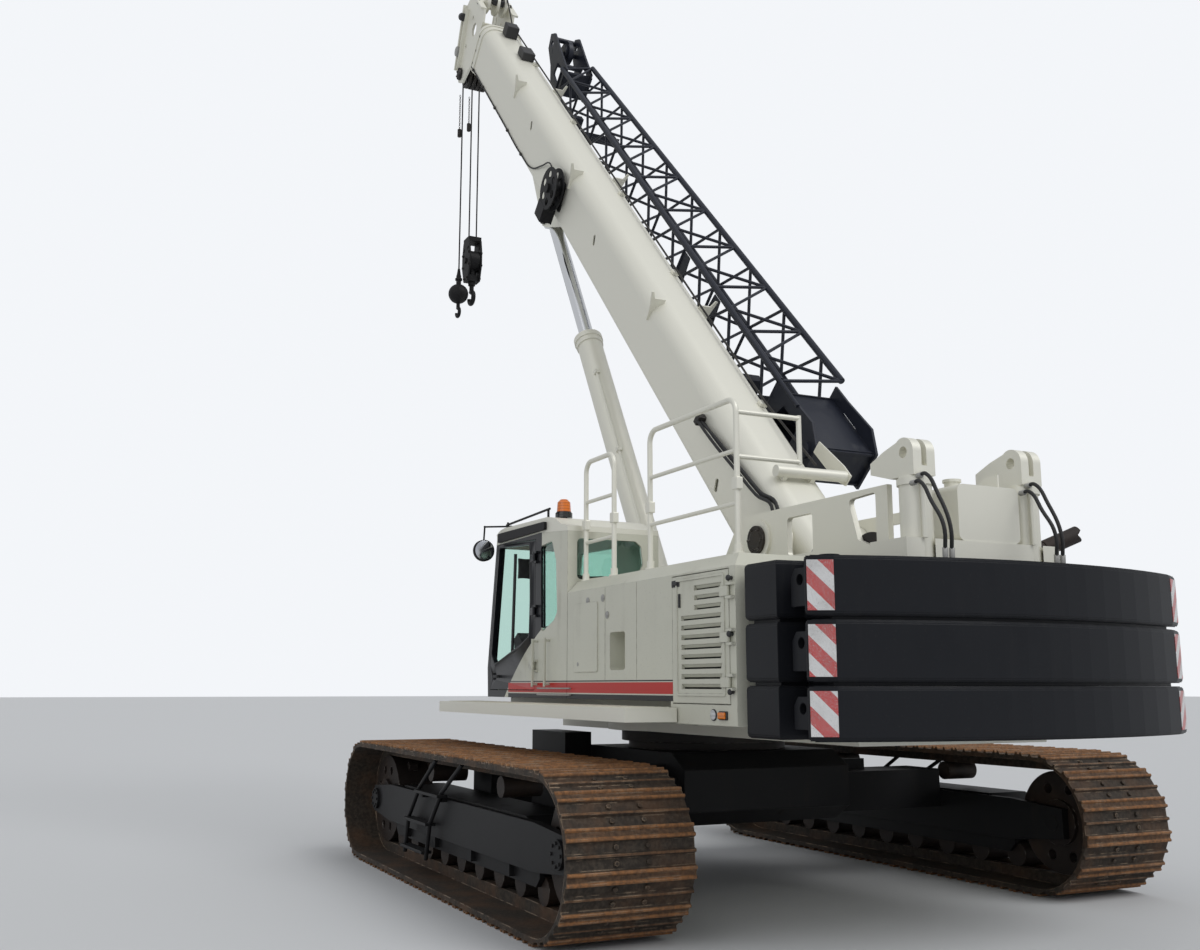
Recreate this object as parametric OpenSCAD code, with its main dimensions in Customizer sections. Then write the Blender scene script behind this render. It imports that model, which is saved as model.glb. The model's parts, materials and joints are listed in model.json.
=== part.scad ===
// Crawler crane with a four-section telescopic boom, a cab on the left, a three-slab
// counterweight and a lattice fly stowed along the right side of the boom.
// Millimetres. X points forward, Y to the left (cab) side and Z up. The sizes are taken
// from the swing axis at ground level; the finished frame lies under the centre of the
// overall box.

/* [Tracks] */
// Length over the track loops
track_length = 5170; // [4600:10:5800]
// Height of a track loop over its grouser bars
track_height = 1045; // [940:5:1150]
// Width of a track shoe
shoe_width = 850; // [600:10:900]
// Distance between the centre lines of the two tracks
track_gauge = 4060; // [3800:10:4300]
// Number of shoes in each loop
shoe_count = 48; // [44:1:54]
// Height of the grouser bars on a shoe
grouser_height = 24; // [12:1:30]
// Thickness of a shoe plate
shoe_plate = 22; // [14:1:30]
// Depth of the chain links inside the shoes
link_depth = 95; // [70:1:110]
// Width of one rail of the chain links
link_rail = 60; // [40:1:90]
// Height of a track side frame
side_frame_height = 430; // [340:5:500]
// Width of a track side frame
side_frame_width = 380; // [300:5:460]
// Radius of a bottom roller
roller_radius = 95; // [70:1:110]
// Number of bottom rollers on each side
roller_count = 9; // [7:1:10]

/* [Carbody] */
// Length and width of the central box
carbody_size = 1900; // [1600:10:2100]
// Underside of the central box above the ground
carbody_clearance = 480; // [380:5:560]
// Top of the central box above the ground
carbody_top = 1030; // [960:5:1060]
// Width of each cross beam
beam_width = 420; // [300:5:520]
// Outer radius of the swing bearing
bearing_radius = 720; // [600:5:820]
// Height of the swing bearing
bearing_height = 150; // [110:1:180]

/* [Upper frame] */
// Thickness of the turntable floor
floor_thickness = 240; // [180:5:280]
// Distance between the outer faces of the two boom plates
plate_span = 940; // [840:5:1040]
// Thickness of a boom plate
plate_thickness = 40; // [25:1:60]
// Half width over the body sides
body_half_width = 1480; // [1400:5:1520]
// Height of the deck above the ground
deck_height = 2350; // [2280:5:2400]
// Rear corner of the body behind the swing axis
body_rear = 2850; // [2700:10:2860]
// Chamfer along the top edges of the body
body_chamfer = 90; // [40:5:120]
// Wall thickness of the body panels
panel = 25; // [10:1:40]

/* [Counterweight] */
// Swing radius of the tail
tail_radius = 3870; // [3700:10:4100]
// Half width over the slabs
slab_half_width = 1470; // [1400:5:1520]
// Thickness of the top slab
slab_top_thickness = 335; // [280:5:380]
// Thickness of the middle slab
slab_mid_thickness = 340; // [280:5:380]
// Thickness of the bottom slab
slab_low_thickness = 300; // [240:5:340]
// Underside of the bottom slab above the ground
slab_base = 1240; // [1180:5:1300]

/* [Boom] */
// Angle of the boom above the horizontal as modelled
boom_angle = 47.9; // [20:0.1:70]
// Boom foot pin behind the swing axis
foot_back = 1600; // [1500:5:1700]
// Boom foot pin above the ground
foot_height = 2600; // [2540:5:2700]
// Length from the foot pin to the front of the base section
base_length = 10400; // [10000:10:10800]
// Outer width of the base section
base_width = 560; // [520:5:600]
// Outer height of the base section
base_height = 660; // [620:5:700]
// Underside of the base section below the foot pin
base_drop = 450; // [400:5:480]
// Wall of each boom section
boom_wall = 12; // [8:1:16]
// Step in width and height from one section to the next
section_step = 60; // [50:2:66]
// Radius of the upper corners of the base section
shoulder_radius = 165; // [120:1:200]
// Radius of the lower corners of the base section
keel_radius = 80; // [40:1:110]
// From the front of the base section to the main head sheaves
head_reach = 550; // [450:10:700]
// Main head sheaves below the line through the foot pin
head_drop = 720; // [600:10:800]

/* [Lift cylinder] */
// Cylinder foot pin ahead of the swing axis
cylinder_foot_x = 400; // [300:5:500]
// Cylinder foot pin above the ground
cylinder_foot_z = 1700; // [1660:5:1760]
// Rod eye along the boom from the foot pin
eye_along = 6600; // [6300:10:6900]
// Rod eye below the line through the foot pin
eye_drop = 740; // [700:5:800]
// Outer radius of the barrel
barrel_radius = 135; // [120:1:160]
// Radius of the rod
rod_radius = 78; // [60:1:95]
// Length of the barrel from its foot pin
barrel_length = 4090; // [3900:10:4200]

/* [Cab] */
// Rear face of the cab behind the swing axis
cab_back = 380; // [350:5:420]
// Length of the cab at its floor
cab_length = 1740; // [1600:10:1800]
// Width of the cab
cab_width = 820; // [760:5:860]
// Floor of the cab above the ground
cab_floor = 1440; // [1420:5:1480]
// Roof of the cab above the ground
cab_roof = 2938; // [2840:2:3000]
// Wall thickness of the cab
cab_wall = 45; // [30:1:60]
// Thickness of the cab's roof panel
roof_thickness = 60; // [40:1:80]

/* [Fly] */
// Length of the stowed lattice fly
fly_length = 8700; // [8000:50:9000]
// Radius of a main chord tube
chord_radius = 32; // [24:1:40]
// Radius of a lacing tube
lacing_radius = 16; // [10:1:22]
// Number of lattice bays
fly_bays = 9; // [7:1:11]
// Length of the solid head at the tip of the fly
fly_head = 820; // [600:10:1000]

/* [Part to draw] */
// Sub-part to draw, or all of them

/* [Hidden] */
$fn = 48;
// Play at pins and seats
play = 0.3;
track_y = track_gauge / 2;
turntable_base = carbody_top + bearing_height + play;
turntable_top = turntable_base + floor_thickness;
plate_y = plate_span / 2;
foot_point = [-foot_back, 0, foot_height];
boom_length = base_length + head_reach;
head_v = -head_drop;

// A point of the boom plane, from distances along and across the boom
function boom_point(u, v) = [
    -foot_back + u * cos(boom_angle) - v * sin(boom_angle),
    foot_height + u * sin(boom_angle) + v * cos(boom_angle)
];
eye_point = boom_point(eye_along, -eye_drop);
cylinder_angle = atan2(eye_point[1] - cylinder_foot_z, eye_point[0] - cylinder_foot_x);
cylinder_length = norm([eye_point[0] - cylinder_foot_x, eye_point[1] - cylinder_foot_z]);

// Puts a sub-part into the finished frame
module placed() {
    translate([-frame_x, 0, 0]) children();
}

// Lays a sub-part along the boom, with X along it and Z across it
module on_boom() {
    placed() translate(foot_point) rotate([0, -boom_angle, 0]) children();
}

// Lays a sub-part along the lift cylinder, from its foot pin
module on_cylinder() {
    placed() translate([cylinder_foot_x, 0, cylinder_foot_z]) rotate([0, -cylinder_angle, 0]) children();
}

// Shape in the X-Z plane given thickness along Y, from y0 to y1
module side_plate(y0, y1) {
    translate([0, y1, 0]) rotate([90, 0, 0]) linear_extrude(height = y1 - y0) children();
}

// Round bar along Y, centred at x, z
module bar_y(x, z, r, y0, y1) {
    translate([x, y1, z]) rotate([90, 0, 0]) cylinder(h = y1 - y0, r = r);
}

// Round tube between two points
module tube(p, q, r, sides = 10, spin = 0) {
    d = q - p;
    translate(p)
        rotate([0, atan2(norm([d[0], d[1]]), d[2]), atan2(d[1], d[0])])
            rotate([0, 0, spin]) cylinder(h = norm(d), r = r, $fn = sides);
}

// Quarter bend of a round tube in the X-Z plane, round a centre at x, z
module bend(x, y, z, bend_radius, r, start) {
    translate([x, y, z]) rotate([90, 0, 0]) rotate([0, 0, start])
        rotate_extrude(angle = 90) translate([bend_radius, 0]) circle(r = r, $fn = 12);
}

// Points of an arc of radius r round x, y, swept from an angle in n steps
function arc(x, y, r, start, sweep, n) =
    [for (k = [0 : n]) [x + r * cos(start + sweep * k / n), y + r * sin(start + sweep * k / n)]];

// Shape with its corners rounded by r
module rounded(r) {
    offset(r = r) offset(delta = -r) children();
}

// Shape in the Y-Z plane given thickness along X, from x0 to x1
module cross_plate(x0, x1) {
    translate([x0, 0, 0]) rotate([90, 0, 90]) linear_extrude(height = x1 - x0) children();
}

module box(x0, x1, y0, y1, z0, z1) {
    translate([x0, y0, z0]) cube([x1 - x0, y1 - y0, z1 - z0]);
}

// Track loop path
loop_radius = track_height / 2 - grouser_height - shoe_plate;
loop_straight = track_length - track_height;
loop_total = 2 * loop_straight + 2 * PI * loop_radius;
shoe_pitch = loop_total / shoe_count;
loop_z = track_height / 2;

// Point of the path at distance s, starting at the rear of the upper run
function loop_at(s) =
    s < loop_straight
        ? [-loop_straight / 2 + s, loop_z + loop_radius]
    : s < loop_straight + PI * loop_radius
        ? let (a = 90 - (s - loop_straight) / loop_radius * 180 / PI)
          [loop_straight / 2 + loop_radius * cos(a), loop_z + loop_radius * sin(a)]
    : s < 2 * loop_straight + PI * loop_radius
        ? [loop_straight / 2 - (s - loop_straight - PI * loop_radius), loop_z - loop_radius]
    : let (a = 270 - (s - 2 * loop_straight - PI * loop_radius) / loop_radius * 180 / PI)
      [-loop_straight / 2 + loop_radius * cos(a), loop_z + loop_radius * sin(a)];

// One shoe: share of the pitch, height over the path
shoe_profile = [
    [0.03, 0.35], [0.06, 1], [0.12, 1], [0.17, 0],
    [0.44, 0], [0.48, 0.9], [0.54, 0.9], [0.58, 0],
    [0.83, 0], [0.88, 1], [0.94, 1], [0.97, 0.35]
];

module loop_ring(outer, inner) {
    difference() {
        hull() for (sx = [-1, 1])
            translate([sx * loop_straight / 2, loop_z]) circle(r = outer, $fn = 40);
        hull() for (sx = [-1, 1])
            translate([sx * loop_straight / 2, loop_z]) circle(r = inner, $fn = 40);
    }
}

module shoe_outline() {
    polygon([
        for (i = [0 : shoe_count - 1])
            let (
                s0 = (i + 0.5) * shoe_pitch,
                p = loop_at(s0 % loop_total),
                q = loop_at((s0 + shoe_pitch) % loop_total),
                d = (q - p) / norm(q - p),
                n = [-d[1], d[0]]
            )
            for (t = shoe_profile)
                p + d * t[0] * norm(q - p) + n * (shoe_plate + grouser_height * t[1])
    ]);
}

module track(side) {
    color([0.36, 0.25, 0.18]) placed() translate([0, side * track_y, 0]) {
        side_plate(-shoe_width / 2, shoe_width / 2) difference() {
            shoe_outline();
            hull() for (sx = [-1, 1])
                translate([sx * loop_straight / 2, loop_z]) circle(r = loop_radius - 12, $fn = 40);
        }
        for (rail = [-1, 1])
            side_plate(rail * 105 - link_rail / 2, rail * 105 + link_rail / 2)
                loop_ring(loop_radius - 6, loop_radius - link_depth);
    }
}

wheel_radius = (loop_radius - link_depth) * cos(180 / 40) - play;

module end_wheel(side, end_x, toothed) {
    color([0.1, 0.1, 0.11]) placed() translate([0, side * track_y, 0]) {
        x = end_x * loop_straight / 2;
        difference() {
            union() {
                bar_y(x, loop_z, wheel_radius, -150, 150);
                if (toothed)
                    for (i = [0 : 10])
                        translate([x, 0, loop_z]) rotate([0, i * 360 / 11, 0])
                            side_plate(-40, 40) polygon([
                                [0, 45], [wheel_radius - 4, 45], [wheel_radius + 42, 22],
                                [wheel_radius + 42, -22], [wheel_radius - 4, -45], [0, -45]
                            ]);
                bar_y(x, loop_z, 170, -side_frame_width / 2 + 8, side_frame_width / 2 - 8);
            }
            bar_y(x, loop_z, 60 + play, -210, 210);
            // ring of lightening holes
            for (i = [0 : 7])
                bar_y(x + 265 * cos(i * 45 + 22), loop_z + 265 * sin(i * 45 + 22), 38, -160, 160);
        }
    }
}

module sprocket(side) {
    end_wheel(side, 1, true);
}

module idler(side) {
    end_wheel(side, -1, false);
}

roller_z = loop_z - loop_radius + link_depth + roller_radius + play;
frame_z0 = roller_z + 20;
frame_z1 = frame_z0 + side_frame_height;
roller_reach = loop_straight / 2 - 470;
fork_x = loop_straight / 2 - wheel_radius - 62;

module rollers(side) {
    color([0.12, 0.12, 0.12]) placed() translate([0, side * track_y, 0]) {
        for (i = [0 : roller_count - 1]) {
            x = -roller_reach + i * 2 * roller_reach / (roller_count - 1);
            bar_y(x, roller_z, roller_radius, -150, 150);
        }
        for (x = [-800, 800])
            bar_y(x, loop_z + loop_radius - link_depth - 75 - play, 75, -150, 150);
    }
}

module side_frame(side) {
    color([0.09, 0.09, 0.1]) placed() translate([0, side * track_y, 0]) {
        half = loop_straight / 2;
        difference() {
            union() {
                side_plate(-side_frame_width / 2, side_frame_width / 2) polygon([
                    [-fork_x, frame_z0 + 60], [-fork_x + 60, frame_z0],
                    [fork_x - 60, frame_z0], [fork_x, frame_z0 + 60],
                    [fork_x, frame_z1 - 120], [fork_x - 240, frame_z1],
                    [-fork_x + 240, frame_z1], [-fork_x, frame_z1 - 120]
                ]);
                for (s = [-1, 1])
                    side_plate(s < 0 ? -245 : side_frame_width / 2 - 5, s < 0 ? -side_frame_width / 2 + 5 : 245) polygon([
                        [-half - 110, loop_z - 110], [-half + 420, loop_z - 160],
                        [half - 420, loop_z - 160], [half + 110, loop_z - 110],
                        [half + 110, loop_z + 110], [half - 420, loop_z + 150],
                        [-half + 420, loop_z + 150], [-half - 110, loop_z + 110]
                    ]);
            }
            for (x = [-half, half]) bar_y(x, loop_z, 60 + play, -300, 300);
            for (i = [0 : roller_count - 1]) {
                x = -roller_reach + i * 2 * roller_reach / (roller_count - 1);
                bar_y(x, roller_z, roller_radius + 12, -155, 155);
            }
            for (x = [-800, 800])
                bar_y(x, loop_z + loop_radius - link_depth - 75 - play, 87, -155, 155);
        }
        for (x = [-half, half]) bar_y(x, loop_z, 60, -250, 250);
        // bolted hub covers and the web's stiffeners
        for (x = [-half, half]) {
            bar_y(x, loop_z, 92, min(side * 240, side * 272), max(side * 240, side * 272));
            for (i = [0 : 7])
                bar_y(x + 70 * cos(i * 45), loop_z + 70 * sin(i * 45), 11,
                      min(side * 260, side * 282), max(side * 260, side * 282));
        }
        for (x = [-1180, -420, 420, 1180])
            box(x - 9, x + 9, side > 0 ? side_frame_width / 2 - 5 : -side_frame_width / 2 - 40,
                side > 0 ? side_frame_width / 2 + 40 : -side_frame_width / 2 + 5, frame_z0 + 20, frame_z1 - 140);
    }
}

// The two bent stringers of the steps, each as points of X and Z from the bottom up
step_rails = [
    [[955, 190], [880, 470], [600, 730], [190, 965]],
    [[395, 190], [315, 470], [40, 730], [-420, 965]]
];

module steps(side) {
    color([0.07, 0.07, 0.08]) placed() translate([0, side * (track_y + 245 + play), 0])
        scale([1, side, 1]) {
            for (rail = step_rails, i = [0 : 2])
                tube([rail[i][0], 62, rail[i][1]], [rail[i + 1][0], 62, rail[i + 1][1]], 17, 12);
            for (rail = step_rails, i = [1, 2])
                translate([rail[i][0], 62, rail[i][1]]) sphere(r = 17);
            // columns: rear end, front end, height
            for (tread = [[385, 965, 235], [300, 890, 455], [30, 620, 690]])
                box(tread[0], tread[1], 20, 104, tread[2], tread[2] + 22);
            for (x = [100, 560]) box(x, x + 50, 0, 50, 712 - 60, 712 - 22);
            for (x = [430, 860]) box(x, x + 50, 0, 50, 440, 456);
        }
}

module carbody() {
    color([0.09, 0.09, 0.1]) placed() {
        half = carbody_size / 2;
        side_y = track_y - 245 - play;
        side_plate(-half * 0.8, half * 0.8) polygon([
            [-half, carbody_clearance + 120], [-half + 200, carbody_clearance],
            [half - 200, carbody_clearance], [half, carbody_clearance + 120],
            [half, carbody_top - 120], [half - 200, carbody_top],
            [-half + 200, carbody_top], [-half, carbody_top - 120]
        ]);
        for (x = [-1, 1])
            box(x * 640 - beam_width / 2, x * 640 + beam_width / 2, -side_y, side_y,
                carbody_clearance + 60, carbody_top - 180);
        // gussets from the beams to the box, and the box of the travel lines in front
        for (x = [-1, 1], s = [-1, 1])
            box(x * 640 - 12, x * 640 + 12, min(s * 700, s * 1150), max(s * 700, s * 1150),
                carbody_top - 185, carbody_top - 90);
        box(half - 260, half + 480, 760, 1010, carbody_top - 185, carbody_top + 110);
        for (y = [800, 860, 920]) tube([half + 470, y, carbody_top + 30], [half + 620, y, carbody_top + 30], 16);
    }
}

module swing_bearing() {
    color([0.2, 0.2, 0.21]) placed() difference() {
        union() {
            translate([0, 0, carbody_top]) cylinder(h = bearing_height * 0.45, r = bearing_radius - 60);
            translate([0, 0, carbody_top + bearing_height * 0.4])
                cylinder(h = bearing_height * 0.6, r = bearing_radius);
        }
        translate([0, 0, carbody_top - 1]) cylinder(h = bearing_height + 2, r = bearing_radius - 170);
    }
}

floor_half = 760;
plate_rear = 3060;

// Outline of a boom plate in the X-Z plane
plate_outline = [
    [-plate_rear, turntable_top - 20], [950, turntable_top - 20], [1060, turntable_top + 60],
    [1060, turntable_top + 140], [-150, turntable_top + 420], [-900, 2250],
    [-1300, 2760], [-1440, 2800], [-plate_rear, 2800]
];

// Openings in a boom plate that show the drums
plate_window_front = [[-2257, 2450], [-1956, 2450], [-1956, 2720], [-2257, 2720]];
plate_window_rear = [[-2662, 2754], [-2943, 2767], [-2941, 2406], [-2752, 2477]];

ear_y = barrel_radius + 18;

module turntable() {
    color([0.86, 0.85, 0.78]) placed() difference() {
        union() {
            box(-plate_rear, 1300, -floor_half, floor_half, turntable_base, turntable_top);
            translate([0, 0, turntable_base]) cylinder(h = 100, r = bearing_radius + 120);
            for (s = [-1, 1])
                side_plate(min(s * plate_y, s * (plate_y - plate_thickness)),
                           max(s * plate_y, s * (plate_y - plate_thickness)))
                    difference() {
                        polygon(plate_outline);
                        rounded(28) polygon(plate_window_front);
                        rounded(28) polygon(plate_window_rear);
                    }
            for (s = [-1, 1])
                bar_y(-foot_back, foot_height, 150, s < 0 ? -plate_y - 22 : plate_y - 5, s < 0 ? -plate_y + 5 : plate_y + 22);
            for (s = [-1, 1])
                side_plate(min(s * ear_y, s * (ear_y + 60)), max(s * ear_y, s * (ear_y + 60))) polygon([
                    [cylinder_foot_x - 320, turntable_top - 10], [cylinder_foot_x + 320, turntable_top - 10],
                    [cylinder_foot_x + 130, cylinder_foot_z + 90], [cylinder_foot_x, cylinder_foot_z + 140],
                    [cylinder_foot_x - 130, cylinder_foot_z + 90]
                ]);
        }
        bar_y(-foot_back, foot_height, 70 + play, -plate_y - 30, plate_y + 30);
        bar_y(cylinder_foot_x, cylinder_foot_z, 60 + play, -plate_y - 10, plate_y + 10);
        for (x = [winch_main_x, winch_aux_x]) bar_y(x, winch_z, 60 + play, -plate_y - 10, plate_y + 10);
    }
}

winch_main_x = -2330;
winch_aux_x = -2810;
winch_z = 2290;
drum_half = plate_span / 2 - plate_thickness - 8;

module winch(x) {
    color([0.1, 0.1, 0.11]) placed() {
        bar_y(x, winch_z, 140, -drum_half, drum_half);
        for (s = [-1, 1]) bar_y(x, winch_z, 235, s < 0 ? -drum_half : drum_half - 35, s < 0 ? -drum_half + 35 : drum_half);
        bar_y(x, winch_z, 60, -plate_y - 4, plate_y + 4);
        // rope layers
        bar_y(x, winch_z, 185, -drum_half + 30, drum_half - 30);
    }
}

// Depth of the lifting recess in each side of a slab
recess_depth = 180;

// Layers of a slab's rounded edges: height of the layer, inset of its outline
slab_edges = [[5, 15], [7, 7], [10, 2]];

// Plan outline of a slab, from its own side details
module slab_plan(notch) {
    corner_x = -sqrt(pow(tail_radius, 2) - pow(slab_half_width - 140, 2));
    difference() {
        polygon(concat(
            [[-2905, slab_half_width - 60], [-2940, slab_half_width], [-3270, slab_half_width],
             [-3290, slab_half_width - recess_depth], [-3540, slab_half_width - recess_depth],
             [-3545, slab_half_width]],
            [[corner_x + 75, slab_half_width]],
            [for (i = [0 : 16])
                let (y = (slab_half_width - 140) * (1 - i / 8))
                [-sqrt(pow(tail_radius, 2) - y * y), y]],
            [[corner_x + 75, -slab_half_width]],
            [[-3545, -slab_half_width], [-3540, -slab_half_width + recess_depth],
             [-3290, -slab_half_width + recess_depth], [-3270, -slab_half_width],
             [-2940, -slab_half_width], [-2905, -slab_half_width + 60]]
        ));
        translate([-3120, -notch]) square([300, 2 * notch]);
    }
}

slab_gap = 20;
slab_setback = 45;
slab_mid_base = slab_base + slab_low_thickness + slab_gap;
slab_top_base = slab_mid_base + slab_mid_thickness + slab_gap;
slab_top = slab_top_base + slab_top_thickness;

module slab(z, t, notch) {
    color([0.06, 0.06, 0.07]) placed() {
        rise = slab_edges[0][0] + slab_edges[1][0] + slab_edges[2][0];
        translate([0, 0, z + rise]) linear_extrude(height = t - 2 * rise) slab_plan(notch);
        for (i = [0 : 2]) {
            low = i == 0 ? 0 : i == 1 ? slab_edges[0][0] : slab_edges[0][0] + slab_edges[1][0];
            translate([0, 0, z + low]) linear_extrude(height = slab_edges[i][0])
                offset(delta = -slab_edges[i][1]) slab_plan(notch);
            translate([0, 0, z + t - low - slab_edges[i][0]]) linear_extrude(height = slab_edges[i][0])
                offset(delta = -slab_edges[i][1]) slab_plan(notch);
        }
        // packer under the slab, set back from its edges
        if (z > slab_base)
            translate([0, 0, z - slab_gap + play]) linear_extrude(height = slab_gap + rise)
                offset(delta = -slab_setback) slab_plan(notch);
        // lugs in the lifting recesses
        for (s = [-1, 1]) side_plate(min(s * (slab_half_width - recess_depth - 5), s * (slab_half_width - 60)),
                                     max(s * (slab_half_width - recess_depth - 5), s * (slab_half_width - 60)))
            difference() {
                polygon([[-3500, z + 60], [-3330, z + 60], [-3330, z + t - 110], [-3370, z + t - 60],
                         [-3460, z + t - 60], [-3500, z + t - 110]]);
                translate([-3415, z + t - 125]) circle(r = 32);
            }
    }
}

module counterweight_top() {
    slab(slab_top_base, slab_top_thickness, 780);
    color([0.06, 0.06, 0.07]) placed() for (s = [-1, 1]) {
        translate([-3200, s * 1040, slab_top - 5]) cylinder(h = 45, r = 75);
        translate([-3200, s * 1040, slab_top + 35]) cylinder(h = 20, r = 62);
    }
}

module counterweight_middle() {
    slab(slab_mid_base, slab_mid_thickness, 780);
}

module counterweight_bottom() {
    slab(slab_base, slab_low_thickness, 780);
}

tail_z = slab_top + play;

// Towers of the counterweight cylinders
tower_x = -3290;
tower_y = 440;
tail_depth = 340;
tail_half = 620;

// Box across the tail that carries the counterweight cylinders
module tail_frame() {
    front = -plate_rear - play;
    back = front - tail_depth;
    color([0.86, 0.85, 0.78]) placed() difference() {
        box(back, front, -tail_half, tail_half, tail_z, tail_z + 165);
        box(back + panel, front - panel, -tail_half + panel, tail_half - panel, tail_z + panel, tail_z + 165 - panel);
        for (s = [-1, 1]) translate([tower_x, s * tower_y, tail_z - 5]) cylinder(h = 300, r = 118);
    }
}

module counterweight_cylinders() {
    head_z = tail_z + 705;
    color([0.86, 0.85, 0.78]) placed() for (s = [-1, 1]) {
        y = s * tower_y;
        translate([tower_x, y, tail_z]) cylinder(h = 560, r = 100);
        translate([tower_x, y, tail_z + 500]) cylinder(h = 40, r = 112);
        translate([tower_x, y, tail_z]) cylinder(h = 30, r = 114);
        translate([tower_x, y, tail_z + 540]) cylinder(h = 90, r = 62);
        difference() {
            side_plate(y - 85, y + 85) union() {
                translate([tower_x, head_z]) circle(r = 92);
                polygon([
                    [tower_x - 92, head_z], [tower_x - 92, head_z - 150], [tower_x + 130, head_z - 150],
                    [tower_x + 317, head_z - 95], [tower_x + 317, head_z - 22], [tower_x + 185, head_z + 33],
                    [tower_x + 60, head_z + 70]
                ]);
            }
            bar_y(tower_x, head_z, 36, y - 90, y + 90);
            box(tower_x - 100, tower_x + 320, y - 20, y + 20, head_z - 90, head_z + 100);
        }
        // pipe beside the tower
        translate([tower_x - 118, y + 40, tail_z + 165 + play]) cylinder(h = 405 - play, r = 17);
        box(tower_x - 118, tower_x - 60, y + 30, y + 50, tail_z + 520, tail_z + 545);
    }
}

// Tank between the towers, with its filler and its bracket
module rear_tank() {
    z = tail_z + 165 + play;
    color([0.86, 0.85, 0.78]) placed() {
        cross_plate(tower_x - 105, tower_x + 195) rounded(45) polygon([
            [-300, z], [200, z], [200, z + 355], [-300, z + 355]
        ]);
        translate([tower_x + 60, 90, z + 350]) cylinder(h = 45, r = 48);
        translate([tower_x + 60, 90, z + 390]) cylinder(h = 18, r = 58);
        side_plate(-190, -178) polygon([
            [tower_x - 60, z + 350], [tower_x + 150, z + 350], [tower_x + 150, z + 380],
            [tower_x + 40, z + 445], [tower_x - 60, z + 445]
        ]);
    }
}

exhaust_x = -2690;

module exhaust() {
    z = deck_height + play;
    x = exhaust_x;
    color([0.12, 0.12, 0.12]) placed() {
        bar_y(x, z + 112, 100, -1010, -750);
        bar_y(x, z + 112, 84, -1030, -730);
        for (y = [-970, -810]) box(x - 55, x + 55, y, y + 20, z, z + 60);
        tube([x, -1000, z + 125], [x, -1250, z + 165], 48, 24);
        difference() {
            tube([x, -1230, z + 160], [x - 65, -1500, z + 275], 60, 24);
            tube([x - 25, -1335, z + 205], [x - 72, -1529, z + 287], 52, 24);
            // slanting mouth
            translate([x - 65, -1500, z + 275]) rotate([35, 0, 0]) translate([-100, -90, -40]) cube([200, 120, 200]);
        }
        // heat guard, a quarter disc beside the silencer
        cross_plate(x - 70, x - 62) intersection() {
            translate([-560, z]) circle(r = 175);
            translate([-560 - 175, z]) square([175, 175]);
        }
    }
}

door_x0 = -2780;
door_x1 = -2070;
door_z0 = 1425;
door_z1 = 2250;

// Side view outline of the left body
module body_outline() {
    polygon([
        [-body_rear, 1300], [-2040, 1300], [-2040, cab_floor], [-cab_back - 8, cab_floor],
        [-cab_back - 8, deck_height], [-body_rear + body_chamfer, deck_height],
        [-body_rear, deck_height - body_chamfer]
    ]);
}

// What the chamfer takes off along the top of a side, for the left (1) or the right (-1)
module side_chamfer(side, x0, x1) {
    cross_plate(x0, x1) polygon([
        [side * (body_half_width - body_chamfer), deck_height + 1],
        [side * (body_half_width + 1), deck_height - body_chamfer],
        [side * (body_half_width + 1), deck_height + 1]
    ]);
}

bracket_y = body_half_width - 200;

module body_left() {
    inner = plate_y + 60;
    color([0.86, 0.85, 0.78]) placed() difference() {
        union() {
            intersection() {
                side_plate(inner, body_half_width) body_outline();
                box(-body_rear - 10, 400, 0, body_half_width + 10, turntable_top + play, deck_height + 10);
            }
            side_plate(floor_half + play, body_half_width) body_outline();
        }
        box(-body_rear + panel, -1450, inner + panel, body_half_width - panel, cab_floor + panel, deck_height - body_chamfer - panel);
        box(door_x0, door_x1, body_half_width - panel - 5, body_half_width + 5, door_z0 - 0, door_z1);
        // step recess
        side_plate(body_half_width - 140, body_half_width + 5) rounded(25)
            polygon([[-1380, 1650], [-1140, 1650], [-1140, 1920], [-1380, 1920]]);
        side_chamfer(1, -body_rear - 5, -cab_back + 5);
        // joints between the panels
        for (x = [-1560, -1060]) box(x - 3, x + 3, body_half_width - 5, body_half_width + 5, cab_floor + 140, deck_height - 95);
    }
    // plate on the front panel
    color([0.86, 0.85, 0.78]) placed() side_plate(body_half_width - 2, body_half_width + 8) rounded(20)
        polygon([[-940, 1640], [-520, 1640], [-520, 2160], [-940, 2160]]);
    color([0.86, 0.85, 0.78]) placed() hinge_pins(louver_hinge_x, louver_hinges);
    color([0.86, 0.85, 0.78]) placed()
        box(-2045, 1300, floor_half + play, bracket_y, turntable_base + 100, cab_floor - play);
}

module body_right() {
    inner = plate_y + 60;
    wall = body_half_width;
    color([0.86, 0.85, 0.78]) placed() difference() {
        union() {
            side_plate(-wall, -inner) polygon([
                [-body_rear, turntable_top + play], [360, turntable_top + play], [380, 1500], [380, 2050],
                [200, deck_height], [-body_rear + body_chamfer, deck_height], [-body_rear, deck_height - body_chamfer]
            ]);
            side_plate(-wall, -floor_half - play) polygon([
                [-body_rear, 1300], [300, 1300], [370, 1450], [-body_rear, 1450]
            ]);
        }
        side_chamfer(-1, -body_rear - 5, 405);
        box(-body_rear + panel, 100, -wall + panel + 30, -inner - panel, turntable_top + panel,
            deck_height - body_chamfer - panel);
        // door joints, louvers and steps of the right side
        for (x = [-2790, -2060, -1330, -600]) box(x - 3, x + 3, -wall - 5, -wall + 5, 1480, deck_height - 100);
        for (x = [-2700, -1970], i = [0 : 9]) box(x, x + 520, -wall - 5, -wall + 18, 1560 + i * 62, 1560 + i * 62 + 30);
        for (z = [1640, 1960]) side_plate(-wall - 5, -wall + 50) rounded(25)
            polygon([[-480, z], [-220, z], [-220, z + 200], [-480, z + 200]]);
    }
    color([0.86, 0.85, 0.78]) placed() for (x = [-2700, -1970], i = [0 : 9])
        translate([x - 2, -wall + 14, 1560 + i * 62 + 2]) rotate([40, 0, 0]) cube([524, 4, 34]);
}

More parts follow.
